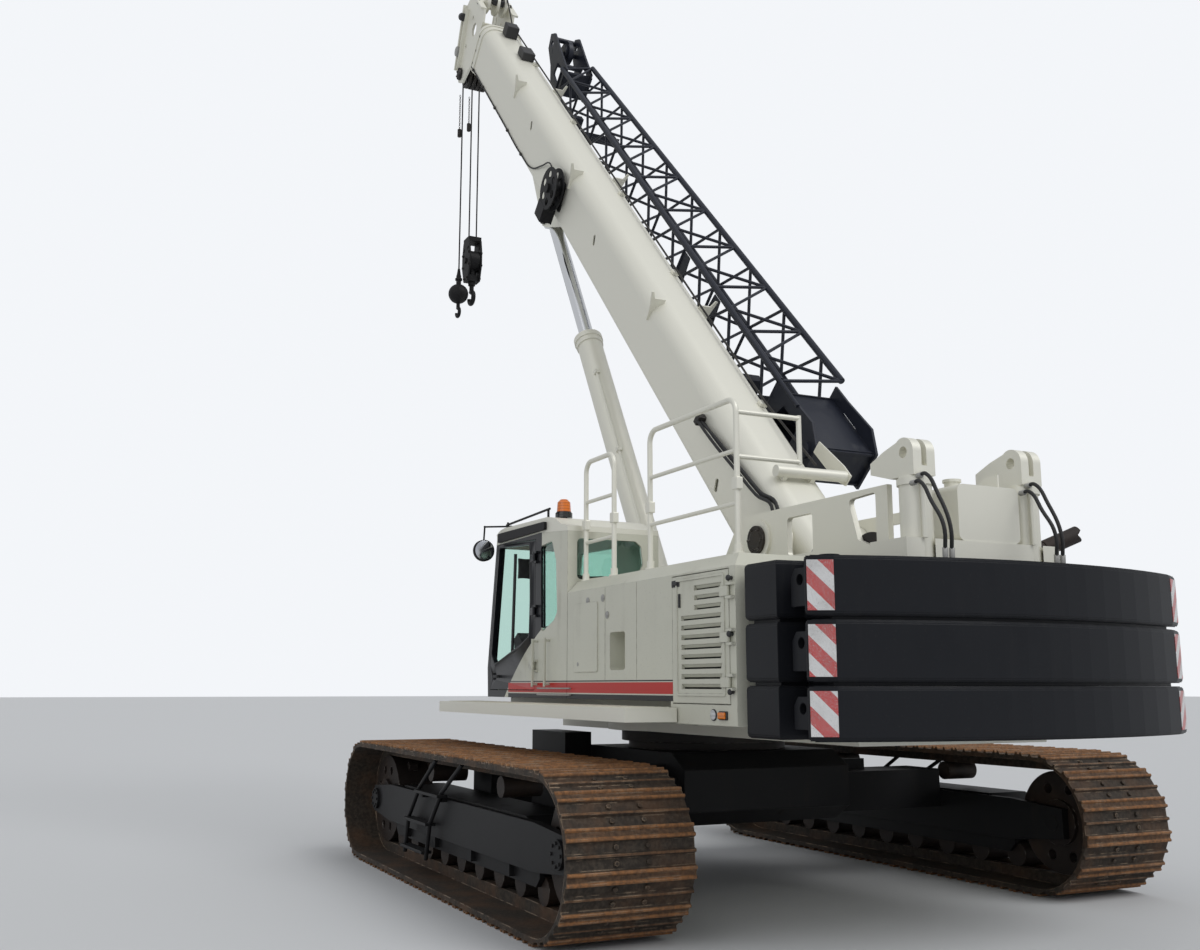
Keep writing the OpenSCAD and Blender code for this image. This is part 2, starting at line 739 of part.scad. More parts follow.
module engine() {
    color([0.25, 0.26, 0.28]) placed()
        box(-2720, -1620, 640, 1290, cab_floor + panel + play, 2130);
}

// Door hinges: pins stand on the body, knuckles on the door
hinge_r = 14;
pin_r = 7;

// Fixed half, at x, with its plate towards -x
module hinge_pins(x, heights) {
    y = body_half_width + hinge_r + 2;
    for (z = heights) {
        translate([x, y, z - 40]) cylinder(h = 80, r = pin_r);
        for (dz = [-50, 32]) {
            translate([x, y, z + dz]) cylinder(h = 18, r = hinge_r);
            box(x - 60, x, body_half_width - 3, y + hinge_r - 2, z + dz, z + dz + 18);
        }
    }
}

// Moving half, at x, with its strap towards +x over the door's face at y1
module hinge_knuckles(x, heights, y1) {
    y = body_half_width + hinge_r + 2;
    for (z = heights) difference() {
        union() {
            translate([x, y, z - 31]) cylinder(h = 62, r = hinge_r);
            box(x, x + 90, y1 + 2, y + 4, z - 31, z + 31);
            box(x + 20, x + 90, y1 - 2, y + 4, z - 31, z + 31);
        }
        translate([x, y, z - 40]) cylinder(h = 80, r = pin_r + play);
    }
}

louver_hinges = [1560, 1830, 2110];
louver_hinge_x = door_x0 - 2;
cab_hinges = [1700, 2150, 2600];
cab_hinge_x = 262;

// Outline of louver i from the top, with its slanting left end
function louver_slot(i) = let (
    x = door_x0 + 90,
    w = i < 3 ? 330 : 500,
    z = door_z0 + 95 + (10 - i) * 62
) [[x + 15, z], [x + w, z], [x + w, z + 30], [x, z + 30]];

module louver_door() {
    color([0.86, 0.85, 0.78]) placed() {
        y1 = body_half_width + 2;
        difference() {
            box(door_x0 + 6, door_x1 - 6, y1 - 30, y1, door_z0 + 6, door_z1 - 6);
            for (i = [0 : 10])
                side_plate(y1 - 40, y1 + 10) polygon(louver_slot(i));
        }
        for (i = [0 : 10])
            translate([door_x0 + 88, y1 - 28, door_z0 + 95 + (10 - i) * 62 + 12]) rotate([-35, 0, 0])
                cube([i < 3 ? 334 : 504, 4, 40]);
        // folded frame round the louvers and the handle's recess plate
        side_plate(y1 - 3, y1 + 7) difference() {
            rounded(20) polygon([[door_x0 + 50, door_z0 + 50], [door_x1 - 60, door_z0 + 50],
                                 [door_x1 - 60, door_z1 - 25], [door_x0 + 50, door_z1 - 25]]);
            rounded(14) polygon([[door_x0 + 66, door_z0 + 66], [door_x1 - 76, door_z0 + 66],
                                 [door_x1 - 76, door_z1 - 41], [door_x0 + 66, door_z1 - 41]]);
        }
        hinge_knuckles(louver_hinge_x, louver_hinges, y1);
    }
}

module walkway() {
    y1 = body_half_width + 390;
    color([0.86, 0.85, 0.78]) placed() {
        box(-2140, 1560, body_half_width + 12, y1, 1372, 1400);
        for (y = [body_half_width + 12, y1 - 18]) box(-2140, 1560, y, y + 18, 1310, 1385);
        for (x = [-2140, 1542]) box(x, x + 18, body_half_width + 12, y1, 1310, 1385);
        // ribs of the tread
        for (i = [0 : 35]) box(-2110 + i * 100, -2110 + i * 100 + 14, body_half_width + 50, y1 - 40, 1399, 1405);
        for (x = [-1900, -700, 500]) box(x, x + 80, bracket_y + play, body_half_width + 20, 1315, 1375);
    }
}

rail_y = body_half_width - 130;
rail_bend = 90;

module guardrails() {
    color([0.86, 0.85, 0.78]) placed() {
        z = deck_height + play;
        // columns: rear end, front end, height
        for (loop = [[-2690, -1530, 1000], [-950, -450, 950]]) rail_loop(loop[0], loop[1], z, loop[2]);
        // return of the rear loop across the deck
        y = rail_y - 480;
        for (h = [620, 1000 - rail_bend]) tube([-2690, rail_y, z + h], [-2690, y, z + h], 17, 12);
        tube([-2690, y, z + 602], [-2690, y, z + 1018 - rail_bend], 17, 12);
        for (x = [-2690, -1530, -950, -450]) {
            translate([x, rail_y, z]) cylinder(h = 12, r = 38);
            translate([x, rail_y, z]) cylinder(h = 60, r = 27);
        }
    }
}

// Loop of the guardrail from x0 to x1 with rounded upper corners and two inner rails
module rail_loop(x0, x1, z, h) {
    for (x = [x0, x1]) tube([x, rail_y, z], [x, rail_y, z + h - rail_bend], 19, 12);
    tube([x0 + rail_bend, rail_y, z + h], [x1 - rail_bend, rail_y, z + h], 19, 12);
    bend(x0 + rail_bend, rail_y, z + h - rail_bend, rail_bend, 19, 90);
    bend(x1 - rail_bend, rail_y, z + h - rail_bend, rail_bend, 19, 0);
    for (k = [0.32, 0.66]) tube([x0, rail_y, z + h * k], [x1, rail_y, z + h * k], 15, 12);
}

cab_y0 = body_half_width - cab_width;
cab_front_low = -cab_back + cab_length;
cab_front_high = cab_front_low - 170;

// Height of the line the roof panel is built over at x
function roof_z(x) = cab_roof - roof_fall + roof_fall * (x + cab_back) / (cab_front_high - 80 + cab_back);

// Crown of the roof: distance along X, height below the top of the cab
roof_fall = 120;
roof_crown = [
    [-cab_back, 138], [-cab_back + 60, 124], [-cab_back + 130, 112], [-cab_back + 232, 61], [-cab_back + 330, 34],
    [-cab_back + 418, 21], [cab_front_high - 194, 0], [cab_front_high - 90, 9], [cab_front_high - 30, 24],
    [cab_front_high + 14, 44]
];

// Side view outline of the walls, grown downwards and upwards by g
module cab_side_outline(g = 0) {
    polygon([
        [-cab_back, cab_floor - g], [cab_front_low, cab_floor - g], [cab_front_low, cab_floor],
        [cab_front_low + 20, cab_floor + 260], [cab_front_high, cab_roof - 90],
        [cab_front_high, roof_z(cab_front_high) - roof_thickness - play + g],
        [-cab_back, roof_z(-cab_back) - roof_thickness - play + g]
    ]);
}

// Windows of the side, rear and front walls
side_window = [[330, 2010], [1190, 2010], [1090, 2750], [330, 2730]];
quarter_window = [[160, 2688], [-70, 2705], [-155, 2541], [-183, 2121], [-124, 2060], [58, 1995], [141, 1958]];
rear_window = [
    [-85, 2700], [-610, 2700], [-660, 2660], [-677, 2511], [-631, 2427], [-485, 2316], [-395, 2377], [-341, 2407],
    [-305, 2398], [-84, 2365]
];
door_window = [[401, 2722], [387, 2253], [399, 1951], [599, 1882], [1192, 1730], [1272, 1812], [1113, 2765]];
window_round = 38;

module cab_shell() {
    color([0.86, 0.85, 0.78]) placed() hinge_pins(cab_hinge_x, cab_hinges);
    color([0.86, 0.85, 0.78]) placed() difference() {
        side_plate(cab_y0, body_half_width) cab_side_outline();
        side_plate(cab_y0 + cab_wall, body_half_width - cab_wall) offset(delta = -cab_wall) cab_side_outline(cab_wall + 10);
        // door opening
        side_plate(body_half_width - cab_wall - 5, body_half_width + 5) polygon(door_outline(0));
        side_plate(body_half_width - cab_wall - 5, body_half_width + 5) rounded(window_round) polygon(quarter_window);
        side_plate(cab_y0 - 5, cab_y0 + cab_wall + 5) rounded(window_round) polygon(side_window);
        // front and rear windows
        box(cab_front_high - 60, cab_front_low + 60, cab_y0 + 70, body_half_width - 70, cab_floor + 320, cab_roof - 168);
        cross_plate(-cab_back - 5, -cab_back + cab_wall + 5) translate([body_half_width, 0])
            rounded(window_round) polygon(rear_window);
    }
}

module cab_floor_pan() {
    color([0.12, 0.12, 0.13]) placed()
        box(-cab_back + cab_wall + play, cab_front_low - cab_wall - play, cab_y0 + cab_wall + play,
            body_half_width - cab_wall - play, cab_floor, cab_floor + cab_wall);
}

module cab_roof_panel() {
    color([0.86, 0.85, 0.78]) placed() {
        side_plate(cab_y0, body_half_width) polygon(concat(
            [[cab_front_high + 14, roof_z(cab_front_high + 14) - roof_thickness],
             [-cab_back, roof_z(-cab_back) - roof_thickness]],
            [for (p = roof_crown) [p[0], cab_roof - p[1]]]
        ));
        // pressed ribs along the roof
        for (y = [cab_y0 + 150, cab_y0 + 380, cab_y0 + 610]) side_plate(y, y + 60) polygon([
            [-cab_back + 590, cab_roof - 24], [-cab_back + 610, cab_roof - 6],
            [cab_front_high - 250, cab_roof + 8], [cab_front_high - 230, cab_roof - 4]
        ]);
    }
}

// Door outline, grown by g
function door_outline(g) = [
    [270 + g, 1500 + g], [cab_front_low - 52 - g, 1500 + g], [cab_front_low - 40 - g, 1720],
    [cab_front_high - 42 - g, 2800 - g], [270 + g, 2756 - g]
];

module cab_door() {
    color([0.07, 0.07, 0.08]) placed() {
        y0 = body_half_width - 38;
        difference() {
            side_plate(y0, body_half_width) polygon(door_outline(6));
            side_plate(y0 - 5, body_half_width + 5) rounded(window_round) polygon(door_window);
            // recess of the lock
            side_plate(body_half_width - 14, body_half_width + 5) rounded(16)
                polygon([[cab_front_low - 210, 1590], [cab_front_low - 110, 1590],
                         [cab_front_low - 110, 1650], [cab_front_low - 210, 1650]]);
        }
        side_plate(y0 + 14, y0 + 20) offset(delta = 8) rounded(window_round) polygon(door_window);
        // seal round the glass
        side_plate(body_half_width - 2, body_half_width + 4) difference() {
            offset(r = 18) polygon(door_window);
            rounded(window_round) polygon(door_window);
        }
        hinge_knuckles(cab_hinge_x, cab_hinges, body_half_width);
    }
}

module cab_glass() {
    color([0.45, 0.62, 0.6]) placed() {
        side_plate(body_half_width - 26, body_half_width - 20) offset(delta = -play)
            rounded(window_round) polygon(quarter_window);
        side_plate(cab_y0 + 20, cab_y0 + 26) offset(delta = -play) rounded(window_round) polygon(side_window);
        cross_plate(-cab_back + 18, -cab_back + 24) offset(delta = -play) translate([body_half_width, 0])
            rounded(window_round) polygon(rear_window);
        low = cab_floor + 320 + play;
        high = cab_roof - 168 - play;
        side_plate(cab_y0 + 70 + play, body_half_width - 70 - play) polygon([
            [front_x(low) - 26, low], [front_x(low) - 20, low], [front_x(high) - 20, high], [front_x(high) - 26, high]
        ]);
    }
}

// Front face of the cab at height z
function front_x(z) = cab_front_low + 20
    + (cab_front_high - cab_front_low - 20) * (z - cab_floor - 260) / (cab_roof - 350 - cab_floor);

module seat() {
    color([0.1, 0.1, 0.11]) placed() {
        z = cab_floor + cab_wall + play;
        x = -cab_back + 500;
        y = cab_y0 + cab_width / 2;
        box(x, x + 300, y - 170, y + 170, z, z + 260);
        box(x - 60, x + 420, y - 220, y + 220, z + 250, z + 380);
        box(x - 100, x + 20, y - 210, y + 210, z + 370, z + 980);
    }
}

module console() {
    color([0.13, 0.13, 0.14]) placed() {
        z = cab_floor + cab_wall + play;
        x = -cab_back + 580;
        for (y = [cab_y0 + 75, body_half_width - 180]) side_plate(y, y + 100) polygon([
            [x, z], [x + 420, z], [x + 420, z + 480], [x + 340, z + 560], [x, z + 540]
        ]);
        side_plate(cab_y0 + 140, body_half_width - 160) polygon([
            [cab_front_low - 440, z], [cab_front_low - 270, z], [cab_front_low - 220, z + 470],
            [cab_front_low - 300, z + 520], [cab_front_low - 400, z + 440]
        ]);
    }
}

module mirror_and_visor() {
    color([0.06, 0.06, 0.07]) placed() {
        y = body_half_width + 120;
        foot = cab_roof + play;
        x = cab_front_high + 26;
        // mirror on its bent arm
        translate([cab_front_high - 250, body_half_width - 40, foot - 0.6]) cylinder(h = 12, r = 26);
        tube([cab_front_high - 250, body_half_width - 40, foot + 9], [x - 20, y, foot + 26], 8);
        tube([x - 20, y, foot + 26], [x, y, foot - 104], 8, 10, 11);
        translate([x - 20, y, foot + 26]) sphere(r = 11);
        cross_plate(x - 20, x + 14) translate([y, foot - 190]) circle(r = 98);
        cross_plate(x + 13, x + 30) translate([y, foot - 190]) circle(r = 80);
        // band over the door
        side_plate(body_half_width + play, body_half_width + 26) rounded(14) polygon([
            [40, cab_roof - 126], [cab_front_high - 80, cab_roof - 126], [cab_front_high - 80, cab_roof - 44],
            [40, cab_roof - 60]
        ]);
    }
}

// Handrail on the roof, rear post and grab bars of the cab
module cab_rails() {
    color([0.06, 0.06, 0.07]) placed() {
        y = body_half_width - 30;
        z = cab_roof + play;
        x1 = cab_front_high - 130;
        x0 = 80;
        for (p = [[x0, cab_roof - 20], [x1 - 60, cab_roof]])
            translate([p[0], y, p[1] + play]) cylinder(h = z + 52 - p[1] - play, r = 10, $fn = 12);
        tube([x0 - 30, y, z + 52], [x1 - 30, y, z + 30], 10, 12);
        // grab bars in front of and behind the door
        for (x = [-40, cab_hinge_x - 48]) {
            tube([x, body_half_width + 45, cab_floor + 90], [x, body_half_width + 45, cab_floor + 480], 11, 12);
            for (h = [cab_floor + 110, cab_floor + 460])
                bar_y(x, h, 9, body_half_width + play, body_half_width + 45);
        }
    }
}

module beacon() {
    color([0.9, 0.4, 0.05]) placed() {
        z = cab_roof - 18.9 + play;
        y = body_half_width - 180;
        translate([100, y, z]) cylinder(h = 30, r = 30);
        translate([100, y, z + 8]) cylinder(h = 40, r = 72);
        translate([100, y, z + 46]) cylinder(h = 12, r = 64);
        translate([100, y, z + 56]) cylinder(h = 84, r1 = 60, r2 = 54);
        translate([100, y, z + 140]) cylinder(h = 24, r1 = 54, r2 = 30);
    }
}

// Cross-section of a boom section, the outer one moved in by inset, with large shoulders
// above and small corners below, centred on the section
module boom_profile(inset) {
    w = base_width / 2 - inset;
    h = base_height / 2 - inset;
    top = shoulder_radius - inset;
    low = max(keel_radius - inset, 8);
    polygon(concat(
        arc(w - top, h - top, top, 0, 90, 16), arc(top - w, h - top, top, 90, 90, 16),
        arc(low - w, low - h, low, 180, 90, 6), arc(w - low, low - h, low, 270, 90, 6)
    ));
}

section_z = base_height / 2 - base_drop;
// Outline of section i inside the base section's
function section_inset(i) = i * section_step / 2;

// Extrudes a cross-section along the boom from u0 to u1
module along_boom(u0, u1) {
    translate([0, 0, section_z]) cross_plate(u0, u1) children();
}

module boom_tube(i, u0, u1) {
    along_boom(u0, u1) difference() {
        boom_profile(section_inset(i));
        boom_profile(section_inset(i) + boom_wall);
    }
}

// Collar at the front of a section, with its wear pads close round the next one
module boom_collar(i, u0, u1) {
    along_boom(u0, u1) difference() {
        boom_profile(section_inset(i) - 14);
        boom_profile(section_inset(i + 1) - play);
    }
}

// Pads round the tail of a section, close inside the one before
module boom_tail(i, u0, u1) {
    along_boom(u0, u1) difference() {
        boom_profile(section_inset(i - 1) + boom_wall + play);
        boom_profile(section_inset(i) + boom_wall);
    }
}

boom_colour = [0.87, 0.86, 0.79];
tail_start = 220;

module boom_base() {
    color(boom_colour) on_boom() difference() {
        union() {
            boom_tube(0, -350, base_length - 160);
            boom_collar(0, base_length - 161, base_length);
            along_boom(base_length - 60, base_length - 20) difference() {
                boom_profile(-26);
                boom_profile(10);
            }
            for (s = [-1, 1]) bar_y(0, 0, 150, s < 0 ? -plate_y + plate_thickness + 6 : base_width / 2 - 4, s < 0 ? -base_width / 2 + 4 : plate_y - plate_thickness - 6);
        }
        bar_y(0, 0, 70 + play, -plate_y, plate_y);
        // access holes, along and across the boom
        for (p = [[7500, 0], [4790, -75], [1030, -300]])
            for (s = [-1, 1])
                side_plate(min(s * (base_width / 2 - boom_wall - 6), s * (base_width / 2 + 6)),
                           max(s * (base_width / 2 - boom_wall - 6), s * (base_width / 2 + 6)))
                    polygon(concat(
                        arc(p[0] + 15, p[1] + 28, 26, -29, 180, 12), arc(p[0] - 15, p[1] - 28, 26, 151, 180, 12)
                    ));
    }
}

// Guides over the shoulders, the tube across the boom's foot and small plates
module boom_fittings() {
    color(boom_colour) on_boom() {
        for (u = [8330, 5820, 3110], s = [-1, 1]) along_boom(u, u + 16) difference() {
            polygon([
                [s * 270, 118], [s * 300, 118], [s * 306, 205], [s * 325, 300], [s * 352, 412],
                [s * 330, 418], [s * 300, 352], [s * 182, 352], [s * 182, 322], [s * 240, 250]
            ]);
            boom_profile(-play);
        }
        // tube across the foot on two saddles
        top = section_z + base_height / 2;
        bar_y(520, top + 62, 46, -455, 215);
        for (y = [-150, 110]) box(478, 562, y, y + 40, top + play, top + 40);
        side_plate(-455, -443) polygon([
            [470, top + 10], [600, top - 40], [1000, top - 60], [1000, top + 50], [600, top + 112], [470, top + 112]
        ]);
        // guide blocks for the lines along the top
        for (u = [1500, 3700, 5400, 7300, 9100])
            box(u, u + 60, -190, -120, top + play, top + 34);
    }
}

// Reel of the electric cable on the boom's left side, with its motor and bracket
module cable_reel() {
    color([0.05, 0.05, 0.06]) on_boom() {
        y = base_width / 2;
        u = 6040;
        v = -130;
        side_plate(y + play, y + 12) rounded(30) polygon([
            [u - 190, v - 190], [u + 170, v - 190], [u + 120, v + 130], [u - 120, v + 130]
        ]);
        bar_y(u, v, 62, y + 8, y + 60);
        for (yy = [y + 52, y + 138]) difference() {
            bar_y(u, v, 236, yy, yy + 10);
            for (i = [0 : 5]) bar_y(u + 150 * cos(i * 60), v + 150 * sin(i * 60), 44, yy - 5, yy + 15);
        }
        bar_y(u, v, 128, y + 56, y + 142);
        bar_y(u, v, 52, y + 140, y + 176);
        box(u - 60, u + 150, y + 10, y + 150, v - 390, v - 200);
        side_plate(y + play, y + 10) polygon([
            [u - 60, v - 200], [u + 260, v - 200], [u + 180, v - 400], [u - 60, v - 400]
        ]);
    }
}

// Pair of cheeks under the base section that take the rod's eye
module eye_bracket() {
    color(boom_colour) on_boom() for (s = [-1, 1])
        side_plate(min(s * 86, s * 112), max(s * 86, s * 112)) polygon([
            [eye_along - 750, -base_drop - play], [eye_along - 110, -eye_drop - 60],
            [eye_along, -eye_drop - 100], [eye_along + 110, -eye_drop - 60],
            [eye_along + 1150, -base_drop - play]
        ]);
}

module boom_section_2() {
    color(boom_colour) on_boom() {
        boom_tube(1, tail_start, base_length + 10);
        boom_collar(1, base_length + 9, base_length + 90);
        boom_tail(1, tail_start, tail_start + 120);
    }
}

module boom_section_3() {
    color(boom_colour) on_boom() {
        boom_tube(2, tail_start, base_length + 100);
        boom_collar(2, base_length + 99, base_length + 180);
        boom_tail(2, tail_start, tail_start + 120);
    }
}

// Open bores for the fly pins, ahead of and above the head sheaves
fly_pins = [[130, 60], [110, -350]];
fly_pin_r = 30;
head_sheave_r = 180;

module boom_tip() {
    color(boom_colour) on_boom() {
        boom_tube(3, tail_start, base_length + 300);
        boom_tail(3, tail_start, tail_start + 120);
        difference() {
            for (s = [-1, 1])
                side_plate(min(s * 195, s * 225), max(s * 195, s * 225)) polygon([
                    [base_length + 205, -430], [base_length + 205, 175], [boom_length - 260, 330],
                    [boom_length + 250, 340], [boom_length + 480, 250], [boom_length + 560, 90],
                    [boom_length + 180, head_v - 20], [boom_length + 120, head_v - 90],
                    [boom_length, head_v - 130], [boom_length - 170, head_v - 60]
                ]);
            bar_y(boom_length, head_v, 50 + play, -300, 300);
            for (p = fly_pins) bar_y(boom_length + p[0], p[1], fly_pin_r, -300, 300);
            // lightening hole
            for (s = [-1, 1]) bar_y(boom_length - 60, -40, 92, s * 210 - 20, s * 210 + 20);
        }
        // flanges along the edges of the head plates
        for (s = [-1, 1]) {
            head_flange(s, [boom_length + 560, 90], [boom_length + 180, head_v - 20], 36);
            head_flange(s, [boom_length + 400, 90], [boom_length + 95, head_v + 40], 26);
            head_flange(s, [boom_length - 260, 318], [boom_length + 250, 328], 26);
        }
        // head plate round the tip section and cross tubes between the cheeks
        along_boom(base_length + 205, base_length + 250) difference() {
            square([448, 560], center = true);
            boom_profile(section_inset(3) + boom_wall);
        }
        bar_y(boom_length + 470, 170, 38, -222, 222);
        bar_y(boom_length - 160, head_v + 240, 42, -222, 222);
        // guide sheaves over the head
        bar_y(boom_length + 60, 330, 34, -222, 222);
        for (y = [-130, -20, 120]) bar_y(boom_length + 60, 330, 150, y - 20, y + 20);
    }
}

// Flange of a head plate on side s, from p to q in the boom plane, t wide
module head_flange(s, p, q, t) {
    d = (q - p) / norm(q - p);
    n = [-d[1], d[0]] * t;
    side_plate(min(s * 190, s * 275), max(s * 190, s * 275)) polygon([p, q, q + n, p + n]);
}

head_point = boom_point(boom_length, head_v);

// Falls of the hoist rope, the rope of the ball, and the sheaves over the width of the head
hoist_y = [-130, -20];
ball_y = 120;
head_sheave_y = [-130, -75, -20, 50, 120];

module head_sheaves() {
    color([0.1, 0.1, 0.11]) placed() {
        x = head_point[0];
        z = head_point[1];
        bar_y(x, z, 50, -240, 240);
        for (y = head_sheave_y) difference() {
            bar_y(x, z, head_sheave_r, y - 20, y + 20);
            for (i = [0 : 5]) bar_y(x + 108 * cos(i * 60), z + 108 * sin(i * 60), 32, y - 30, y + 30);
        }
    }
}

rope_r = 10;
rope_x = head_point[0] + head_sheave_r + rope_r + play;
block_sheave_r = 150;

// Centre of the overall box ahead of the swing axis, from the block to the tail
frame_x = (rope_x + block_sheave_r - tail_radius) / 2;

module main_hook() {
    color([0.08, 0.08, 0.09]) placed() {
        top = 7850;
        y = (hoist_y[0] + hoist_y[1]) / 2;
        for (rope = hoist_y)
            translate([rope_x, rope, top - 20]) cylinder(h = head_point[1] - top + 20, r = rope_r, $fn = 10);
        translate([rope_x, y, top - 570]) cylinder(h = 90, r = 60);
        box(rope_x - 110, rope_x + 110, y - 95, y + 95, top - 60, top);
        // cheeks
        for (cheek = [y - 95, y + 75]) side_plate(cheek, cheek + 20) difference() {
            rounded(20) polygon([
                [rope_x - 120, top - 50], [rope_x + 120, top - 50], [rope_x + 158, top - 230], [rope_x + 158, top - 430],
                [rope_x + 85, top - 650], [rope_x - 85, top - 650], [rope_x - 158, top - 430], [rope_x - 158, top - 230]
            ]);
            for (a = [-1, 1]) translate([rope_x + a * 84, top - 170]) circle(r = 30);
        }
        bar_y(rope_x, top - 340, block_sheave_r, y - 70, y + 70);
        bar_y(rope_x, top - 340, 44, y - 118, y + 118);
        tube([rope_x, y, top - 495], [rope_x, y, top - 480], 60, 24);
        box(rope_x - 70, rope_x + 70, y - 70, y + 70, top - 650, top - 560);
        translate([rope_x, y, top - 800]) cylinder(h = 170, r = 32);
        translate([rope_x, y, top - 700]) cylinder(h = 55, r = 50);
        translate([rope_x, y, top - 880]) rotate([90, 0, 0]) rotate([0, 0, 75])
            rotate_extrude(angle = 285) translate([85, 0]) circle(r = 32);
    }
}

module ball_hook() {
    color([0.08, 0.08, 0.09]) placed() {
        z = 7000;
        translate([rope_x, ball_y, z + 250]) cylinder(h = head_point[1] - z - 250, r = rope_r, $fn = 10);
        translate([rope_x, ball_y, z]) rotate_extrude() intersection() {
            circle(r = 140);
            translate([0, -200]) square([200, 400]);
        }
        translate([rope_x, ball_y, z + 120]) cylinder(h = 150, r = 35);
        translate([rope_x, ball_y, z + 200]) cylinder(h = 26, r = 50);
        translate([rope_x, ball_y, z + 262]) cylinder(h = 110, r1 = 32, r2 = 16);
        translate([rope_x, ball_y, z - 215]) cylinder(h = 110, r = 26);
        translate([rope_x, ball_y, z - 270]) rotate([90, 0, 0]) rotate([0, 0, 75])
            rotate_extrude(angle = 285) translate([60, 0]) circle(r = 24);
    }
}

// Stowed fly: its four chords as across (y) and over (v) the boom, at the base and at the tip
fly_u0 = 1900;
fly_u1 = fly_u0 + fly_length - 1300;
fly_base = [[-1120, -180], [-1120, 330], [-500, -210], [-500, 250]];
fly_tip = [[-1000, -90], [-1000, 300], [-590, -140], [-590, 200]];

// Point of chord k at share t of the lattice
function fly_at(t, k) = [
    fly_u0 + (fly_u1 - fly_u0) * t,
    fly_base[k][0] + (fly_tip[k][0] - fly_base[k][0]) * t,
    fly_base[k][1] + (fly_tip[k][1] - fly_base[k][1]) * t
];

// Faces of the lattice as pairs of chords, the first with the struts' feet
fly_faces = [[0, 1], [2, 3], [0, 2], [1, 3]];

module lattice_fly() {
    color([0.08, 0.09, 0.13]) on_boom() {
        for (k = [0 : 3]) tube(fly_at(0, k), fly_at(1, k), chord_radius);
        for (i = [0 : fly_bays - 1], face = fly_faces) {
            t0 = i / fly_bays;
            t1 = (i + 1) / fly_bays;
            tm = (t0 + t1) / 2;
            tube(fly_at(t0, face[0]), fly_at(tm, face[1]), lacing_radius, 8, 13);
            tube(fly_at(tm, face[1]), fly_at(t1, face[0]), lacing_radius, 8, 13);
        }
        for (i = [0 : fly_bays], face = [fly_faces[1], fly_faces[3]])
            tube(fly_at(i / fly_bays, face[0]), fly_at(i / fly_bays, face[1]), lacing_radius, 8, 29);
        fly_foot();
        fly_nose();
        // brackets that carry the fly on the boom
        side = -base_width / 2 - play;
        for (u = [2200, 8000]) {
            box(u, u + 100, -560, side, -110, 40);
            box(u, u + 12, -1120, -480, -225, -110);
            box(u, u + 100, -560, -540, -215, 40);
        }
    }
}

// Box-shaped foot of the fly with its pin lugs
module fly_foot() {
    side = [
        [1040, 160], [1250, 280], [1700, 252], [fly_u0 + 30, 250], [fly_u0 + 30, -210],
        [1780, -236], [1270, -236], [1040, -222]
    ];
    for (y = [fly_base[0][0] - 12, fly_base[2][0] - 12]) side_plate(y, y + 24) difference() {
        polygon(side);
        translate([1150, 60]) circle(r = 42);
        translate([1150, -150]) circle(r = 42);
        rounded(50) polygon([[1380, 150], [1680, 150], [1780, -120], [1380, -180]]);
    }
    for (u = [1080, fly_u0 - 30]) box(u, u + 16, fly_base[0][0], fly_base[2][0], -200, 150);
    box(1060, fly_u0, fly_base[0][0], fly_base[2][0], 120, 140);
    box(1060, fly_u0, fly_base[0][0], fly_base[2][0], -200, -180);
    for (p = [[1150, 60], [1150, -150]])
        bar_y(p[0], p[1], 74, fly_base[2][0], fly_base[2][0] + 46);
    // cover plates inside the lattice near the foot
    for (u = [3300, 4150]) side_plate(fly_base[2][0] - 40, fly_base[2][0] - 30)
        polygon([[u, -190], [u + 260, -190], [u + 200, 180], [u + 60, 180]]);
    tube([1500, fly_base[2][0] + 20, 262], [2900, fly_base[2][0] + 10, 262], 18);
}

// Head of the fly with its sheave
module fly_nose() {
    end = fly_u1 + fly_head;
    for (y = [-985, -628]) side_plate(y, y + 26) difference() {
        polygon([
            [fly_u1 - 120, -140], [fly_u1 - 120, 250], [fly_u1 + 240, 330], [end - 130, 440],
            [end, 380], [end - 60, 200], [end - 330, 60], [fly_u1 + 300, -120]
        ]);
        translate([end - 150, 300]) circle(r = 40);
        rounded(40) polygon([[fly_u1 + 40, -40], [fly_u1 + 40, 190], [fly_u1 + 260, 200], [fly_u1 + 300, 20]]);
    }
    for (p = [[fly_u1 - 60, 60], [fly_u1 + 330, 140], [end - 60, 340]]) bar_y(p[0], p[1], 34, -985, -602);
    bar_y(end - 220, 220, 175, -850, -790);
    bar_y(end - 220, 220, 120, -880, -760);
    bar_y(end - 220, 220, 30, -990, -600);
    box(fly_u1 - 110, fly_u1 - 40, -1000, -590, -120, 200);
}

module boom_foot_pin() {
    color([0.3, 0.3, 0.31]) placed() {
        out = plate_y + 22;
        bar_y(-foot_back, foot_height, 70, -out - 26, out + 26);
        for (s = [-1, 1]) {
            bar_y(-foot_back, foot_height, 105, s < 0 ? -out - 22 : out + play, s < 0 ? -out - play : out + 22);
            for (i = [0 : 5])
                bar_y(-foot_back + 86 * cos(i * 60), foot_height + 86 * sin(i * 60), 11,
                      s < 0 ? -out - 32 : out + 20, s < 0 ? -out - 20 : out + 32);
        }
    }
}

module cylinder_foot_pin() {
    color([0.3, 0.3, 0.31]) placed() {
        bar_y(cylinder_foot_x, cylinder_foot_z, 60, -ear_y - 80, ear_y + 80);
        for (s = [-1, 1]) bar_y(cylinder_foot_x, cylinder_foot_z, 85, s < 0 ? -ear_y - 90 : ear_y + 60 + play, s < 0 ? -ear_y - 60 - play : ear_y + 90);
    }
}

bore_radius = barrel_radius - 22;
piston_at = 1750;

